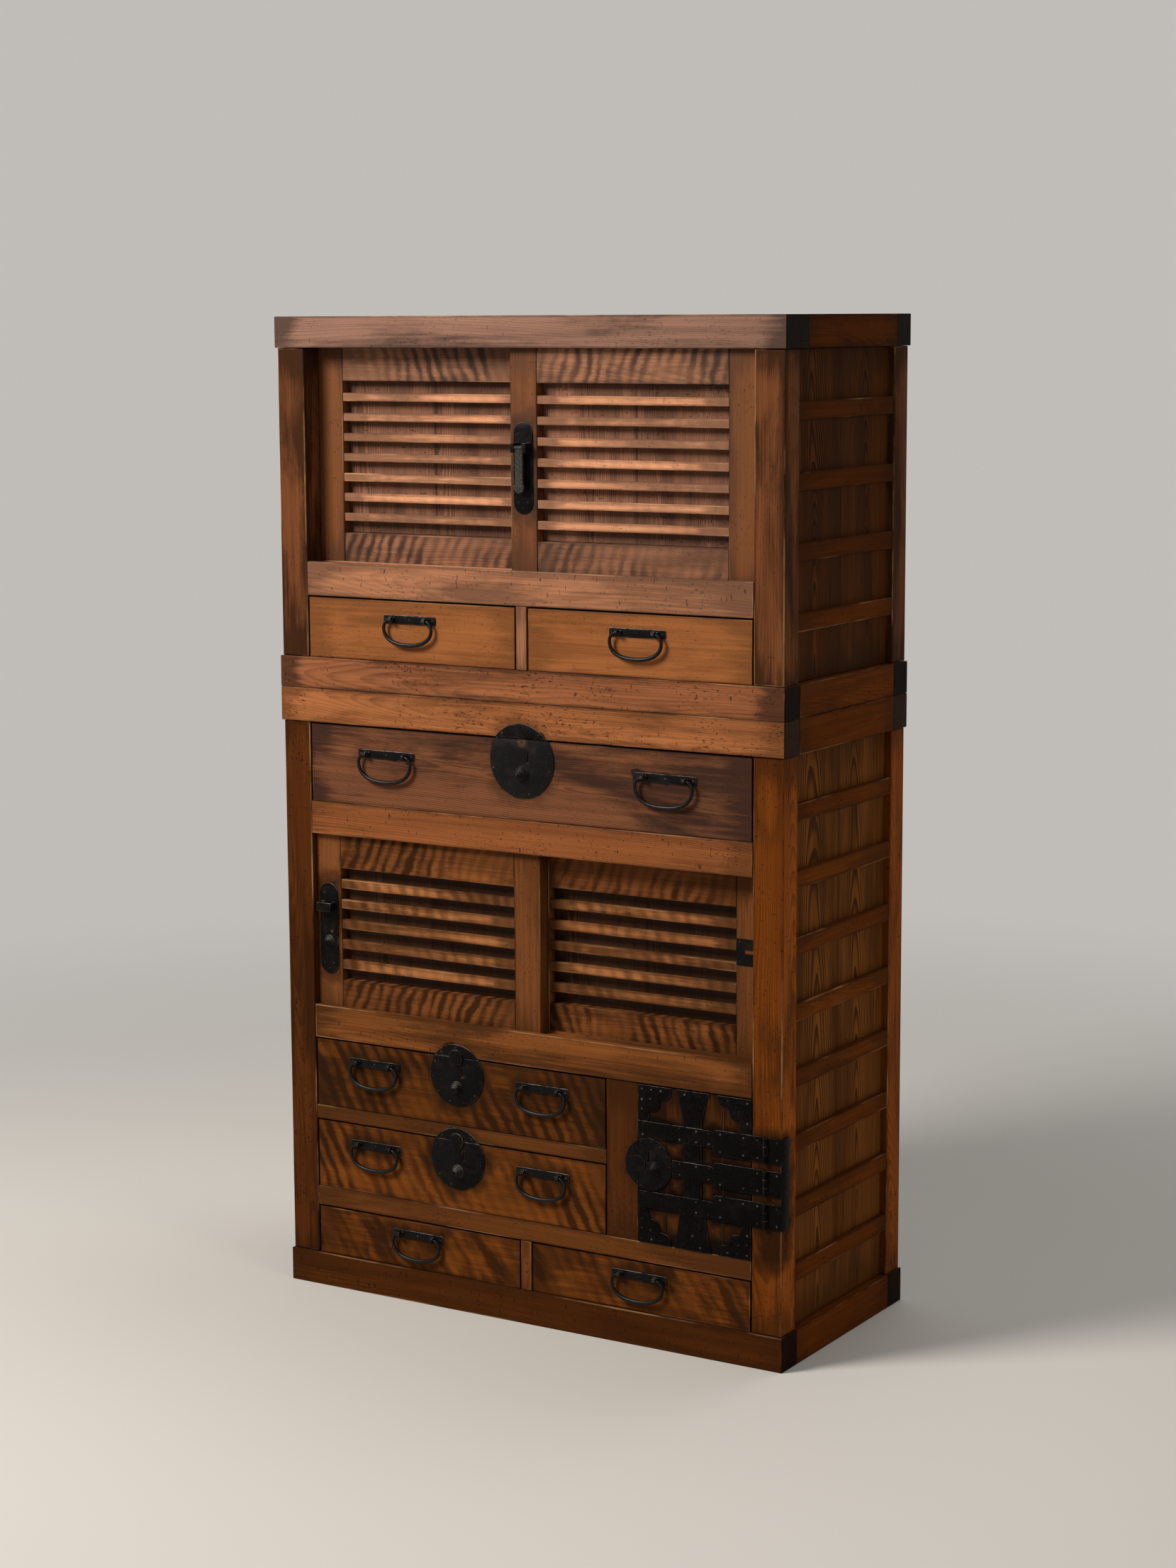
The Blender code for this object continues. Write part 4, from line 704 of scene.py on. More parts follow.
boards = [((low.x, low.y, lock_rail_low), (bay_right, lock_rail_back, lock_rail_high), "x"),
          ((low.x, lock_rail_back, lock_rail_high - SHELF_BOARD), (bay_right, high.y, lock_rail_high), "x",
           THIN_ROUND)]
wood_piece("lock_drawer_rail_timber", boards, lock_rail_wood, "lower_case", "safe_divider")

# Sliding doors: stiles with figured rails between them, level louvre bars over a thin dark panel. The
# ripple figure of the rails runs in slanting bands, and the bars are paler than the stiles, on the upper
# doors partly as painted sheen.
STILE_WIDTH = 45.5 * MM
STILE_LIGHT = (0.25, 0.088, 0.027)
STILE_DARK = (0.105, 0.035, 0.011)
RAIL_SETBACK = 0.4 * MM
BAR_SETBACK = 1 * MM
BAR_THICKNESS = 8.5 * MM
BAR_ROUND = 1.0 * MM
DOOR_PANEL = 5 * MM
DOOR_PANEL_BOARDS = 2
DOOR_PANEL_ROUND = 0.3 * MM
UPPER_DOOR = {"top_rail": 56.5 * MM, "bottom_rail": 46 * MM, "bars": 7, "bar_height": 12.5 * MM}
LOWER_DOOR = {"top_rail": 59.5 * MM, "bottom_rail": 44.5 * MM, "bars": 5, "bar_height": 14.5 * MM}


def sliding_door(node, woods, turned_rails, top_rail, bottom_rail, bars, bar_height):
    """One door; woods are those of its stiles, rails, bars and panel, in that order."""
    low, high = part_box(node)
    left = low.x + STILE_WIDTH
    right = high.x - STILE_WIDTH
    sight_low = low.z + bottom_rail
    sight_high = high.z - top_rail
    rail_face = low.y + RAIL_SETBACK
    bar_face = low.y + BAR_SETBACK
    panel_face = high.y - DOOR_PANEL
    boards = {
        "_stiles": [((x, low.y, low.z), (x + STILE_WIDTH, high.y, high.z), "z") for x in (low.x, right)],
        "_rails": [((left, rail_face, start), (right, high.y, stop), "x", USUAL_ROUND, which in turned_rails)
                   for start, stop, which in ((low.z, sight_low, "bottom"), (sight_high, high.z, "top"))],
        "_bars": [((left, bar_face, start), (right, bar_face + BAR_THICKNESS, stop), "x", BAR_ROUND)
                  for start, stop in level_spans(sight_low, sight_high, bars, bar_height)],
        "_panel": [((start, panel_face, sight_low), (stop, high.y, sight_high), "z", DOOR_PANEL_ROUND)
                   for start, stop in even_spans(left, right, DOOR_PANEL_BOARDS)],
    }
    for (part, part_boards), wood in zip(boards.items(), woods):
        wood_piece(node + part, part_boards, wood, node, node)


def lifted(colour, lift):
    return tuple(channel * lift for channel in colour)


def centre_halo(node):
    """Centre and half size of a CAD node's box, for the dark mark its iron leaves in the wood."""
    low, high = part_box(node)
    return ((low + high) / 2, (high - low) / 2, 0.0)


def door_woods(prefix, stain, gloss, stile_lift, rail_colours, rail_stripes, bar_colours, bar_stain,
               bar_stripes, panel_colours):
    """Stile, rail, bar and panel finishes of one pair of doors; stile_lift brightens the stiles."""
    stile_wood = wood_material(
        prefix + "_stile_wood", lifted(STILE_LIGHT, stile_lift), lifted(STILE_DARK, stile_lift),
        stain_amount=0.45, rings=0.15, pits=0.6, stain=stain,
        halos=[centre_halo(prefix + "_door_lock_plate")], soot=0.85, gloss=gloss)
    rail_wood = wood_material(
        prefix + "_figured_rail", *rail_colours, stain_amount=0.38, stripes=rail_stripes, lean=-0.32,
        pitch=19.5 * MM, ripple=0.7, stain=stain, gloss=gloss)
    bar_wood = wood_material(
        prefix + "_bar_wood", *bar_colours, stain_amount=bar_stain, rings=0.2, wear=0.8,
        stripes=bar_stripes, lean=0.3, end_drift=0.24, pitch=24 * MM, stain=stain, gloss=gloss)
    dark_panel = wood_material(
        prefix + "_door_panel", *panel_colours, stain_amount=0.5, rings=0.5, wear=0.0, pits=0.9,
        stain=stain)
    return stile_wood, rail_wood, bar_wood, dark_panel


# Painted sheen: the upper doors' pale bars and greyish panel hold part of the varnish sheen in their colour
upper_woods = door_woods(
    "upper", stain=SMOKE_STAIN, gloss=0.5, stile_lift=0.82,
    rail_colours=((0.37, 0.164, 0.084), (0.148, 0.062, 0.034)), rail_stripes=1.15,
    bar_colours=((0.80, 0.375, 0.200), (0.46, 0.200, 0.100)), bar_stain=0.65, bar_stripes=0.2,
    panel_colours=((0.37, 0.172, 0.100), (0.130, 0.056, 0.034)))
lower_woods = door_woods(
    "lower", stain=WARM_STAIN, gloss=0.1, stile_lift=0.96,
    rail_colours=((0.27, 0.092, 0.026), (0.105, 0.034, 0.010)), rail_stripes=1.3,
    bar_colours=((0.45, 0.182, 0.066), (0.25, 0.094, 0.031)), bar_stain=0.7, bar_stripes=0.7,
    panel_colours=((0.10, 0.0425, 0.020), (0.0275, 0.011, 0.0055)))
for side_name, upper_turned, lower_turned in (("left", ["top"], []), ("right", [], ["bottom"])):
    sliding_door("upper_" + side_name + "_door", upper_woods, upper_turned, **UPPER_DOOR)
    sliding_door("lower_" + side_name + "_door", lower_woods, lower_turned, **LOWER_DOOR)

# Drawers: a thick front of show wood on an open box of plain thin boards, which slides on the shelf below
# it. The two lock drawers and the bottom ones have fronts of rippled wood, and the wide one's is sooty.
DRAWER_FRONT = 20 * MM
DRAWER_WALL = 10 * MM
DRAWER_BOTTOM = 8 * MM
DRAWER_SIDE_DROP = 8 * MM
BOTTOM_PLANKS = 3
BOTTOM_ROUND = 0.4 * MM
FRONT_EASE = 1.5 * MM
FRONT_ROUND = 1.4 * MM
FRONT_END_STAIN = 0.75
box_wood = wood_material(
    "drawer_box_wood", (0.42, 0.240, 0.115), (0.24, 0.130, 0.060), stain_amount=0.25, rings=0.5, wear=0.3,
    pits=0.3)


def drawer(node, front_material):
    low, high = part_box(node)
    fore = low.y + DRAWER_FRONT
    rear = high.y - DRAWER_WALL
    left = low.x + DRAWER_WALL
    right = high.x - DRAWER_WALL
    top = high.z - DRAWER_SIDE_DROP
    corner = (high.x - FRONT_EASE, fore, high.z - FRONT_EASE)
    face = ((low.x + FRONT_EASE, low.y, low.z), corner, "x", FRONT_ROUND)
    wood_piece(node + "_front", [face], front_material, node, node)
    box = [((x, fore, low.z), (x + DRAWER_WALL, high.y, top), "y") for x in (low.x, right)]
    box.append(((left, rear, low.z), (right, high.y, top), "x"))
    box += [((start, fore, low.z), (stop, rear, low.z + DRAWER_BOTTOM), "y", BOTTOM_ROUND)
            for start, stop in even_spans(left, right, BOTTOM_PLANKS)]
    wood_piece(node + "_box", box, box_wood, node, node)


def handle_halos(drawer_name):
    return [centre_halo(drawer_name + side) for side in ("_left_plate", "_right_plate")]


def figured_front(node, light, dark, **finish):
    return wood_material(
        node + "_wood", light, dark, stripes=1.4, rings=0.1, wear=0.9, pitch=24 * MM,
        end_stain=FRONT_END_STAIN, soot=0.9, gloss=0.1, **finish)


for node in ("upper_left_drawer", "upper_right_drawer"):
    plain_front = wood_material(
        node + "_wood", (0.40, 0.145, 0.042), (0.21, 0.070, 0.021), stain_amount=0.42, rings=0.12, wear=0.9,
        pits=0.6, end_stain=FRONT_END_STAIN)
    drawer(node, plain_front)
halos = [*handle_halos("wide_drawer"), disc_halo("wide_drawer_lock_plate", WIDE_LOCK_RADIUS)]
dark_front = wood_material(
    "wide_drawer_wood", (0.23, 0.088, 0.038), (0.062, 0.023, 0.012), stain_amount=0.8, rings=0.35, wear=0.8,
    stain=(0.016, 0.009, 0.009), end_stain=FRONT_END_STAIN, gloss=0.15, halos=halos)
drawer("wide_drawer", dark_front)
for node, lift, stain_amount in (("upper_lock_drawer", 0.60, 0.75), ("lower_lock_drawer", 0.87, 0.45)):
    halos = [*handle_halos(node), disc_halo(node + "_lock_plate", LOCK_RADIUS)]
    front_wood = figured_front(
        node, lifted((0.25, 0.076, 0.012), lift), lifted((0.12, 0.033, 0.005), lift),
        stain_amount=stain_amount, lean=0.55, ripple=0.65, halos=halos)
    drawer(node, front_wood)
for node in ("bottom_left_drawer", "bottom_right_drawer"):
    front_wood = figured_front(
        node, (0.235, 0.068, 0.009), (0.105, 0.029, 0.005), stain_amount=0.6, lean=0.65, ripple=0.25,
        halos=[centre_halo(node + "_plate")])
    drawer(node, front_wood)

# Safe door boards: dark red-brown planks that the ironwork covers almost whole, black with soot along every
# strap and paler only in the middle of the gaps that are left between them.
SAFE_PLANKS = 4
LEVELS = (-1, 0, 1)
BAND_SPACING = 53 * MM
BAND_HALF = 12 * MM
BAND_END = 32 * MM
STRAP_SPACING = 49 * MM
STRAP_HALF = 18.5 * MM
SPINE_SHIFT = 3 * MM
SPINE_HALF = 15 * MM
FOOT_HALF = 16 * MM
SAFE_CORNER = 36 * MM
SOOT_EDGE = 3 * MM
low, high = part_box("safe_door_planks")
middle = (low + high) / 2
safe_face = low.y
band_end = middle.x + BAND_END


def soot_mark(left, right, z, half_height):
    """Mark along a level strip of iron on the safe door."""
    half_size = HALO_DEPTH + Vector(((right - left) / 2, 0.0, half_height))
    return (Vector(((left + right) / 2, safe_face, z)), half_size, SOOT_EDGE)


spine = middle.x - SPINE_SHIFT
iron_marks = [safe_lock_halo, soot_mark(spine - SPINE_HALF, spine + SPINE_HALF, middle.z, high.z - middle.z)]
for level in LEVELS:
    iron_marks.append(soot_mark(low.x, band_end, middle.z + level * BAND_SPACING, BAND_HALF))
    iron_marks.append(soot_mark(band_end, high.x, middle.z + level * STRAP_SPACING, STRAP_HALF))
for x in (low.x, high.x):
    iron_marks += [(Vector((x, safe_face, z)), HALO_DEPTH, SAFE_CORNER) for z in (low.z, high.z)]
iron_marks.append(soot_mark(low.x, high.x, low.z, FOOT_HALF))
safe_wood = wood_material(
    "safe_door_wood", (0.090, 0.029, 0.007), (0.032, 0.011, 0.003), stain_amount=0.75, rings=0.15, wear=0.2,
    stain=(0.0045, 0.003, 0.0024), halos=iron_marks, soot=1.0, soot_reach=20 * MM, gloss=0.05)
boards = [((start, low.y, low.z), (stop, high.y, high.z), "z", PLANK_ROUND)
          for start, stop in even_spans(low.x, high.x, SAFE_PLANKS)]
wood_piece("safe_door_boards", boards, safe_wood, "safe_door", "safe_door_planks")

# Ironwork: hand-forged plates, blackened and oiled, worn brighter along the edges that hands and keys rub;
# the bright edges are partly painted highlight, strongest on those that face up. Each piece starts as a copy
# of its solid, whose sharp edges are eased; "rub" marks the eased faces.
WELD = 0.002 * MM
FLAT_ANGLE = math.radians(2)
EDGE_ANGLE = math.radians(30)
SHADE_ANGLE = math.radians(40)
FORGED_ROUND = 0.6 * MM
# Eased faces that look up get more of the bright edge colour: painted highlight on top of wear
UPWARD = 0.3
UPPER_EDGE_WEAR_AND_GLINT = 1.0
EDGE_WEAR_AND_GLINT = 0.45
# Nail heads are lightened a little, partly wear and partly a painted glint
NAIL_WEAR_AND_GLINT = 0.3
NAIL_DOME = (1.0, 1.0, 0.5)
OUTWARD = (0, -1, 0)


def iron_mesh():
    mesh = bmesh.new()
    mesh.faces.layers.float.new("rub")
    return mesh


def solid_copy(node):
    """Copy a node's solid and join its triangles."""
    shape = iron_mesh()
    shape.from_mesh(frame["nodes"][node].data)
    bmesh.ops.remove_doubles(shape, verts=shape.verts, dist=WELD)
    return shape


def forged_copy(node, round_over=FORGED_ROUND):
    """Copy a node's solid and ease its sharp edges."""
    shape = solid_copy(node)
    bmesh.ops.dissolve_limit(shape, angle_limit=FLAT_ANGLE, verts=shape.verts, edges=shape.edges)
    sharp = [edge for edge in shape.edges
             if len(edge.link_faces) == 2 and edge.calc_face_angle() > EDGE_ANGLE]
    eased = ease_edges(shape, sharp, round_over, clamp=True)
    rub = shape.faces.layers.float["rub"]
    shape.normal_update()
    # Upward eased faces are lightened most, a painted highlight as well as wear
    for face in eased:
        face[rub] = UPPER_EDGE_WEAR_AND_GLINT if face.normal.z > UPWARD else EDGE_WEAR_AND_GLINT
    return shape


def add_nail(mesh, place, radius, out=OUTWARD):
    """Low domed nail head standing on a face that looks along out."""
    shape = iron_mesh()
    bmesh.ops.create_uvsphere(shape, u_segments=10, v_segments=6, radius=radius)
    bmesh.ops.scale(shape, vec=NAIL_DOME, verts=shape.verts)
    turn = Vector((0, 0, 1)).rotation_difference(Vector(out)).to_matrix().to_4x4()
    bmesh.ops.transform(shape, matrix=Matrix.Translation(place) @ turn, verts=shape.verts)
    rub = shape.faces.layers.float["rub"]
    for face in shape.faces:
        face[rub] = NAIL_WEAR_AND_GLINT
    join_shape(mesh, shape)


def finish_iron(name, mesh, material, body, stands_for=()):
    """Shade an iron piece smooth between its sharp edges and hand it to its body."""
    piece = finish_piece(name, mesh, material, body, stands_for)
    piece.data.shade_smooth()
    piece.data.set_sharp_from_angle(angle=SHADE_ANGLE)
    return piece


def forged_piece(name, node, material, body, nails=(), nail_radius=0.0, round_over=FORGED_ROUND):
    """Iron piece made from a node's solid, with a nail head at each of the places."""
    mesh = forged_copy(node, round_over)
    for place in nails:
        add_nail(mesh, place, nail_radius)
    finish_iron(name, mesh, material, body, [node])


OILED_BLACK = 1.3
OILED_METAL = 0.15
IRON_RELIEF = {"Strength": 0.30, "Distance": 0.8 * MM}
BLACK_SCALE = ((0.0030, 0.0028, 0.0029, 1.0), (0.0070, 0.0066, 0.0066, 1.0))
WORN_AND_LIT_GREY = ((0.019, 0.0185, 0.017, 1.0), (0.060, 0.058, 0.052, 1.0))
BROWN_RUST = (0.026, 0.016, 0.011, 1.0)
BRIGHT_EDGE = (0.26, 0.235, 0.21, 1.0)
RUST_SPOT = ((5 * MM, 6 * MM, (0.060, 0.027, 0.015, 1.0)), (1.3 * MM, 0.8 * MM, (0.003, 0.002, 0.002, 1.0)))
RUST_DEPTH = (0.0, 1.0, 0.0)
forged_iron, n, given, out = new_group("forged_iron", {"black": "Color", "grey": "Color", "rust": "Float",
                                                       "wear": "Float"}, SKIN)
spot = n.place()
rubbed_and_glinting = n.attribute("rub", "Fac")
mottle = spot.noise(55.0, 5.0, 0.62)
scale_mark = spot.noise(420.0, 3.0)
hammer = spot.noise(110.0, 2.0, 0.5)
rusty = mottle.ramp(0.50, 0.72) * given["rust"]
bare = n.mix(rusty, n.mix(scale_mark.ramp(0.35, 0.75), given["black"], given["grey"]), BROWN_RUST)
# Painted highlight and wear: eased faces, the upward ones most, are lightened towards the bright edge colour
chafed_and_glinting = rubbed_and_glinting * (mottle + rubbed_and_glinting * 0.10).ramp(0.44, 0.70) * given["wear"]
n.put(out["Color"], n.mix(chafed_and_glinting, bare, BRIGHT_EDGE))
n.put(out["Roughness"], scale_mark * 0.20 + chafed_and_glinting * -0.12 + 0.27 + rusty * 0.3)
n.put(out["Height"], hammer + scale_mark * 0.25)


def iron_material(name, rust=0.25, wear=0.7, gloss=0.2, rust_spot=None, colours=BLACK_SCALE):
    """Forged iron; a rust spot is a brown patch around a black pit at one place."""
    material, nodes = new_material(name)
    black, grey = colours
    inputs = {"black": black, "grey": grey, "rust": rust, "wear": wear}
    skin = nodes.add("ShaderNodeGroup", inputs, node_tree=forged_iron)
    colour = skin.outputs["Color"]
    if rust_spot is not None:
        for radius, reach, paint in RUST_SPOT:
            colour = nodes.mix(mark_mask(nodes, rust_spot, RUST_DEPTH, radius, reach, radius), colour, paint)
    constants = {"Metallic": OILED_METAL, "IOR": OILED_BLACK, "Specular IOR Level": gloss}
    dress(nodes, skin, colour, IRON_RELIEF, constants)
    return material


plate_iron = iron_material("plate_iron")

# Drawer handles: a flat back plate with two eyes, held by a nail at its middle and one at each end, and a
# round bail drawn out thinner towards the eyes, polished by hands along the grip.
SMALL_ROUND = 0.5 * MM
PLATE_NAIL = 1.7 * MM
PLATE_SHEET = 1.5 * MM
PLATE_NAIL_INSET = 5 * MM
ANY_ANGLE = 3.1
ROUNDING = 2
bail_iron = iron_material("bail_iron", rust=0.1, wear=0.5, gloss=0.45)
for handle in sorted(node[:-len("_bail")] for node in frame["nodes"] if node.endswith("_bail")):
    plate_node = handle + "_plate"
    bail_node = handle + "_bail"
    low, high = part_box(plate_node)
    middle = (low + high) / 2
    nails = [(x, high.y - PLATE_SHEET, middle.z)
             for x in (middle.x, low.x + PLATE_NAIL_INSET, high.x - PLATE_NAIL_INSET)]
    carrier = frame["nodes"][plate_node]["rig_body"]
    forged_piece(handle + "_forged_plate", plate_node, plate_iron, carrier, nails, PLATE_NAIL, SMALL_ROUND)
    shape = solid_copy(bail_node)
    bmesh.ops.join_triangles(shape, faces=shape.faces, angle_face_threshold=ANY_ANGLE,
                             angle_shape_threshold=ANY_ANGLE)
    grip = finish_iron(handle + "_forged_bail", shape, bail_iron, bail_node, [bail_node])
    rounding = grip.modifiers.new("rounding", "SUBSURF")
    rounding.levels = ROUNDING
    rounding.render_levels = ROUNDING

# Round drawer locks: a disc cut along the drawer's top edge, with a ring of nails, a keyhole and a stepped
# conical pull. The smaller part, nailed to the rail above, is the keeper; a tongue laps over it.
LOCK_NAIL = 1.8 * MM
LOCK_SHEET = 1.6 * MM
LOCK_NAIL_INSET = 5 * MM
LOCK_TOP_CLEAR = 18 * MM
KEEPER_TOP_CLEAR = 4 * MM
KEEPER_SHARE = 0.62
RUST_RISE = 28 * MM
lock_iron = iron_material("lock_iron", rust=0.3, wear=0.5, gloss=0.12)
for drawer_name, radius, nail_count in (("wide_drawer", WIDE_LOCK_RADIUS, 12),
                                        ("upper_lock_drawer", LOCK_RADIUS, 11),
                                        ("lower_lock_drawer", LOCK_RADIUS, 11)):
    lock_node = drawer_name + "_lock_plate"
    keeper_node = drawer_name + "_lock_keeper"
    low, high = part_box(lock_node)
    keeper_low, keeper_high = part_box(keeper_node)
    middle = Vector(((low.x + high.x) / 2, 0.0, low.z + radius))
    ring = radius - LOCK_NAIL_INSET
    angles = [2 * math.pi * (index + 0.5) / nail_count - math.pi / 2 for index in range(nail_count)]
    places = [middle + ring * Vector((math.cos(angle), 0.0, math.sin(angle))) for angle in angles]
    nails = [(place.x, high.y - LOCK_SHEET, place.z) for place in places if place.z < high.z - LOCK_TOP_CLEAR]
    skin = lock_iron
    if drawer_name == "wide_drawer":
        skin = iron_material("wide_lock_iron", rust=0.35, wear=0.5, gloss=0.3,
                             rust_spot=(middle.x, high.y, middle.z + RUST_RISE))
    forged_piece(drawer_name + "_forged_lock", lock_node, skin, drawer_name, nails, LOCK_NAIL)
    nails = []
    for share in (-KEEPER_SHARE, 0.0, KEEPER_SHARE):
        arch = middle.z + math.sqrt(ring ** 2 - (ring * share) ** 2)
        nails.append((middle.x + ring * share, keeper_low.y, min(arch, keeper_high.z - KEEPER_TOP_CLEAR)))
    forged_piece(drawer_name + "_forged_keeper", keeper_node, lock_iron, "lower_case", nails, LOCK_NAIL)

# Door locks: long round-ended plates on the front doors' stiles, with three nails at each end. The upper
# one has a hasp bar on a pin between two ears, the lower one a closed staple, a keyhole and a small pull.
DOOR_NAIL = 1.6 * MM
DOOR_NAIL_INSET = 8 * MM
DOOR_NAIL_SPREAD = 8 * MM
DOOR_NAIL_STEP = 9 * MM
for node, body in (("upper_door", "upper_right_door"), ("lower_door", "lower_left_door")):
    low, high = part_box(node + "_lock_plate")
    middle = (low + high) / 2
    nails = []
    for end_z, inward in ((high.z - DOOR_NAIL_INSET, -1), (low.z + DOOR_NAIL_INSET, 1)):
        nails.append((middle.x, high.y - LOCK_SHEET, end_z))
        nails += [(middle.x + side * DOOR_NAIL_SPREAD, high.y - LOCK_SHEET, end_z + inward * DOOR_NAIL_STEP)
                  for side in (-1, 1)]
    forged_piece(node + "_forged_lock", node + "_lock_plate", lock_iron, body, nails, DOOR_NAIL)
# The hasp's lighter grey is partly bare worn iron and partly painted sheen for the light it catches
hasp_iron = iron_material("hasp_iron", rust=0.15, wear=0.9, gloss=0.4, colours=WORN_AND_LIT_GREY)
hasp = "upper_door_hasp"
forged_piece("upper_door_forged_hasp", hasp, hasp_iron, hasp, round_over=SMALL_ROUND)

# Slotted catch plate on the rear lower door: a thin sheet of iron, cut with a slot for the bolt of the
# front door's lock and held by a nail at each corner.
CATCH_SPAN = (44.4 * MM, 1.4 * MM)
CATCH_LEVELS = (587 * MM, 626 * MM)
SLOT_LEVELS = (604.5 * MM, 610.5 * MM)
SLOT_START = 12 * MM
CATCH_GAP = 0.1 * MM
CATCH_SHEET = 1.2 * MM
CATCH_NAIL = 1.4 * MM
CATCH_NAIL_INSET = 5 * MM
CATCH_NAIL_RIGHT = 6 * MM
low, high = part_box("lower_right_door")
left, right = [high.x - inset for inset in CATCH_SPAN]
bottom, top = CATCH_LEVELS
slot_bottom, slot_top = SLOT_LEVELS
slot_x = left + SLOT_START
rim = [(left, bottom), (right, bottom), (right, slot_bottom), (slot_x, slot_bottom),
       (slot_x, slot_top), (right, slot_top), (right, top), (left, top)]
mesh = iron_mesh()
draw_out(mesh, [(x, low.y - CATCH_GAP, z) for x, z in rim], (0, -CATCH_SHEET, 0))
for nail_x in (left + CATCH_NAIL_INSET, right - CATCH_NAIL_RIGHT):
    for nail_z in (bottom + CATCH_NAIL_INSET, top - CATCH_NAIL_INSET):
        add_nail(mesh, (nail_x, low.y - CATCH_GAP - CATCH_SHEET, nail_z), CATCH_NAIL)
finish_iron("lower_door_catch", mesh, plate_iron, "lower_right_door")

# Safe ironwork: a spine, three bands and scalloped corners that bind the planks, three hinge straps that
# turn on pins in front of the post, and a plate that wraps the post's corner. Nails hold every sheet.
SAFE_NAIL = 1.6 * MM
SHEET_STANDS = 1.6 * MM
BAND_STANDS = 2.4 * MM
BAND_START_NAIL = 8 * MM
BAND_NAILS = (-24 * MM, 4 * MM, 25 * MM)
BAND_NAIL_RISE = 8 * MM
STRAP_NAILS = (44 * MM, 82 * MM)
STRAP_NAIL_INSET = 9 * MM
STRAP_NAIL_RISE = 13 * MM
CORNER_NAILS = ((6, 6), (22, 6), (38, 6), (6, 22), (6, 36), (20, 20))
SPINE_NAILS = ((-16, 6), (10, 6), (-3, 22))
SIDE_NAIL_SINK = 0.55 * MM
SIDE_NAIL_INSET = 7 * MM
safe_iron = iron_material("safe_iron", rust=0.15, wear=1.4, gloss=0.04)
low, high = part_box("safe_door_planks")
middle = (low + high) / 2
sheet_face = low.y - FIT - SHEET_STANDS
band_face = low.y - FIT - BAND_STANDS
strap_nail_levels = [middle.z + level * STRAP_SPACING + rise
                     for level in LEVELS for rise in (-STRAP_NAIL_RISE, STRAP_NAIL_RISE)]
nails = []
for level in LEVELS:
    band_z = middle.z + level * BAND_SPACING
    across_band = [middle.x + shift for shift in BAND_NAILS]
    if level:
        across_band.append(low.x + BAND_START_NAIL)
    for rise in (-BAND_NAIL_RISE, BAND_NAIL_RISE):
        nails += [(x, band_face, band_z + rise) for x in across_band]
across_strap = [*[middle.x + shift for shift in STRAP_NAILS], hinge_low.x - STRAP_NAIL_INSET]
nails += [(x, band_face, z) for x in across_strap for z in strap_nail_levels]
for end_z, up in ((low.z, 1), (high.z, -1)):
    for corner_x, inward in ((low.x, 1), (high.x, -1)):
        nails += [(corner_x + inward * reach * MM, sheet_face, end_z + up * rise * MM)
                  for reach, rise in CORNER_NAILS]
    nails += [(middle.x + shift * MM, sheet_face, end_z + up * rise * MM) for shift, rise in SPINE_NAILS]
forged_piece("safe_door_forged_straps", "safe_door_ironwork", safe_iron, "safe_door", nails, SAFE_NAIL)

mesh = forged_copy("safe_hinge_plate")
for z in strap_nail_levels:
    add_nail(mesh, (hinge_high.x - STRAP_NAIL_INSET, band_face, z), SAFE_NAIL)
    add_nail(mesh, (hinge_high.x - SIDE_NAIL_SINK, hinge_high.y - SIDE_NAIL_INSET, z), SAFE_NAIL, (1, 0, 0))
finish_iron("safe_forged_hinge", mesh, safe_iron, "lower_case", ["safe_hinge_plate"])

# Safe lock: a disc of sheet iron nailed to the door, with a keyhole, a pull and a tongue. The tongue laps
# the keeper, a smaller sheet that is nailed to the divider.
SAFE_RING_INSET = 4.5 * MM
SAFE_LOCK_NAILS = 9
SAFE_LOCK_ARC = math.radians(220)
KEEPER_NAIL_INSET = 8 * MM
ring = SAFE_LOCK_RADIUS - SAFE_RING_INSET
angles = [SAFE_LOCK_ARC * (index / (SAFE_LOCK_NAILS - 1) - 0.5) for index in range(SAFE_LOCK_NAILS)]
centre = safe_lock_middle
nails = [(centre.x + ring * math.cos(angle), sheet_face, centre.z + ring * math.sin(angle))
         for angle in angles]
forged_piece("safe_forged_lock", "safe_lock_plate", lock_iron, "safe_door", nails, SAFE_NAIL)
keeper_low, keeper_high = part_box("safe_lock_keeper")
nails = [(keeper_high.x - KEEPER_NAIL_INSET, keeper_low.y, centre.z + share * ring)
         for share in (-KEEPER_SHARE, KEEPER_SHARE)]
forged_piece("safe_forged_keeper", "safe_lock_keeper", lock_iron, "lower_case", nails, SAFE_NAIL)

# Floor and light: a pale plain floor that fades into an even pale surround, a large soft lamp high at the
# front left, as in the photograph, a weaker one at the right and one overhead.
FLOOR_RADIUS = 14.0
FADE_START = 0.8
FADE_END = 3.4
FLOOR_PAINT = (0.62, 0.605, 0.58, 1.0)
FLOOR_ROUGHNESS = 0.85
SURROUND = (0.53, 0.51, 0.485, 1.0)
AIR_COLOUR = (1.0, 0.97, 0.93, 1.0)
AIR_LIGHT = 0.16


def seen_directly(nodes):
    """One for camera, mirror and glass rays, which see the surround, and nought for rays that only light."""
    rays = nodes.add("ShaderNodeLightPath").outputs
    camera_rays, glossy_rays, glass_rays = [Signal(nodes, rays[f"Is {kind} Ray"])
                                            for kind in ("Camera", "Glossy", "Transmission")]
    return (camera_rays + glossy_rays + glass_rays).at_most(1.0)


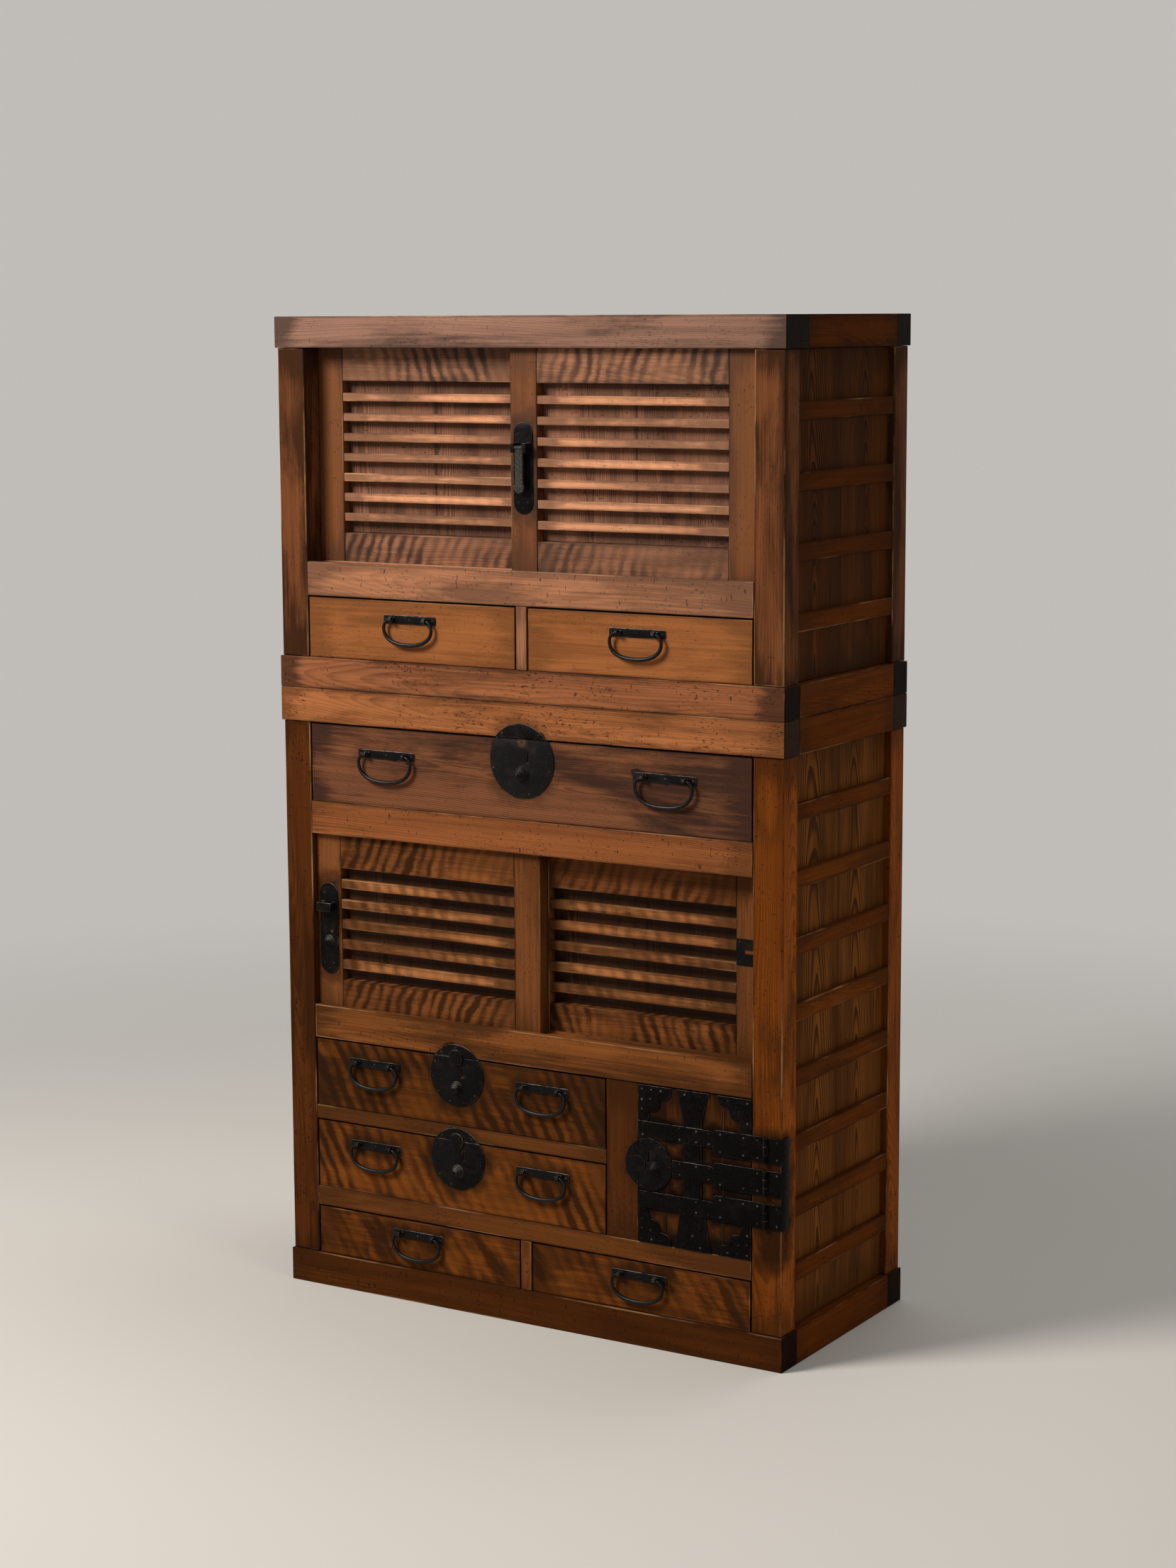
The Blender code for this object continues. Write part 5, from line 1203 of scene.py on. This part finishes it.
def blend_into(nodes, output, share, first, second):
    """Lead a blend of two shaders to a tree's output."""
    blend = nodes.add("ShaderNodeMixShader", {0: share, 1: first.outputs[0], 2: second.outputs[0]})
    nodes.put(nodes.tree.nodes[output].inputs["Surface"], blend.outputs[0])


ground = bmesh.new()
bmesh.ops.create_circle(ground, cap_ends=True, segments=96, radius=FLOOR_RADIUS)
floor_data = bpy.data.meshes.new("studio_floor")
ground.to_mesh(floor_data)
ground.free()
floor_paint, n = new_material("studio_paint")
paint = n.tree.nodes["Principled BSDF"]
n.put(paint.inputs["Base Color"], FLOOR_PAINT)
n.put(paint.inputs["Roughness"], FLOOR_ROUGHNESS)
far_glow = n.add("ShaderNodeEmission", {"Color": SURROUND})
fade = n.math("LENGTH", n.place()).ramp(FADE_START, FADE_END) * seen_directly(n)
blend_into(n, "Material Output", fade, paint, far_glow)
floor_data.materials.append(floor_paint)
studio_floor = bpy.data.objects.new("studio_floor", floor_data)
bpy.context.scene.collection.objects.link(studio_floor)

world = bpy.data.worlds.new("studio_air")
world.use_nodes = True
n = Nodes(world.node_tree)
lit = n.tree.nodes["Background"]
n.put(lit.inputs["Color"], AIR_COLOUR)
n.put(lit.inputs["Strength"], AIR_LIGHT)
shown = n.add("ShaderNodeBackground", {"Color": SURROUND})
blend_into(n, "World Output", seen_directly(n), lit, shown)
bpy.context.scene.world = world


def soft_lamp(name, place, target, size, power, colour):
    lamp = bpy.data.lights.new(name, "AREA")
    lamp.shape = "DISK"
    lamp.size = size
    lamp.energy = power
    lamp.color = colour
    holder = bpy.data.objects.new(name, lamp)
    holder.location = place
    holder.rotation_euler = (Vector(target) - Vector(place)).to_track_quat("-Z", "Y").to_euler()
    bpy.context.scene.collection.objects.link(holder)


chest_middle = (0.0, 0.0, 0.85)
soft_lamp("key_lamp", (-1.5, -2.4, 3.0), (0.0, 0.0, 1.2), size=1.3, power=150.0, colour=(1.0, 0.94, 0.86))
soft_lamp("side_lamp", (3.6, -1.4, 2.0), chest_middle, size=1.4, power=22.0, colour=(1.0, 0.92, 0.82))
soft_lamp("top_lamp", (0.4, 0.8, 3.6), chest_middle, size=1.6, power=30.0, colour=(1.0, 0.98, 0.95))
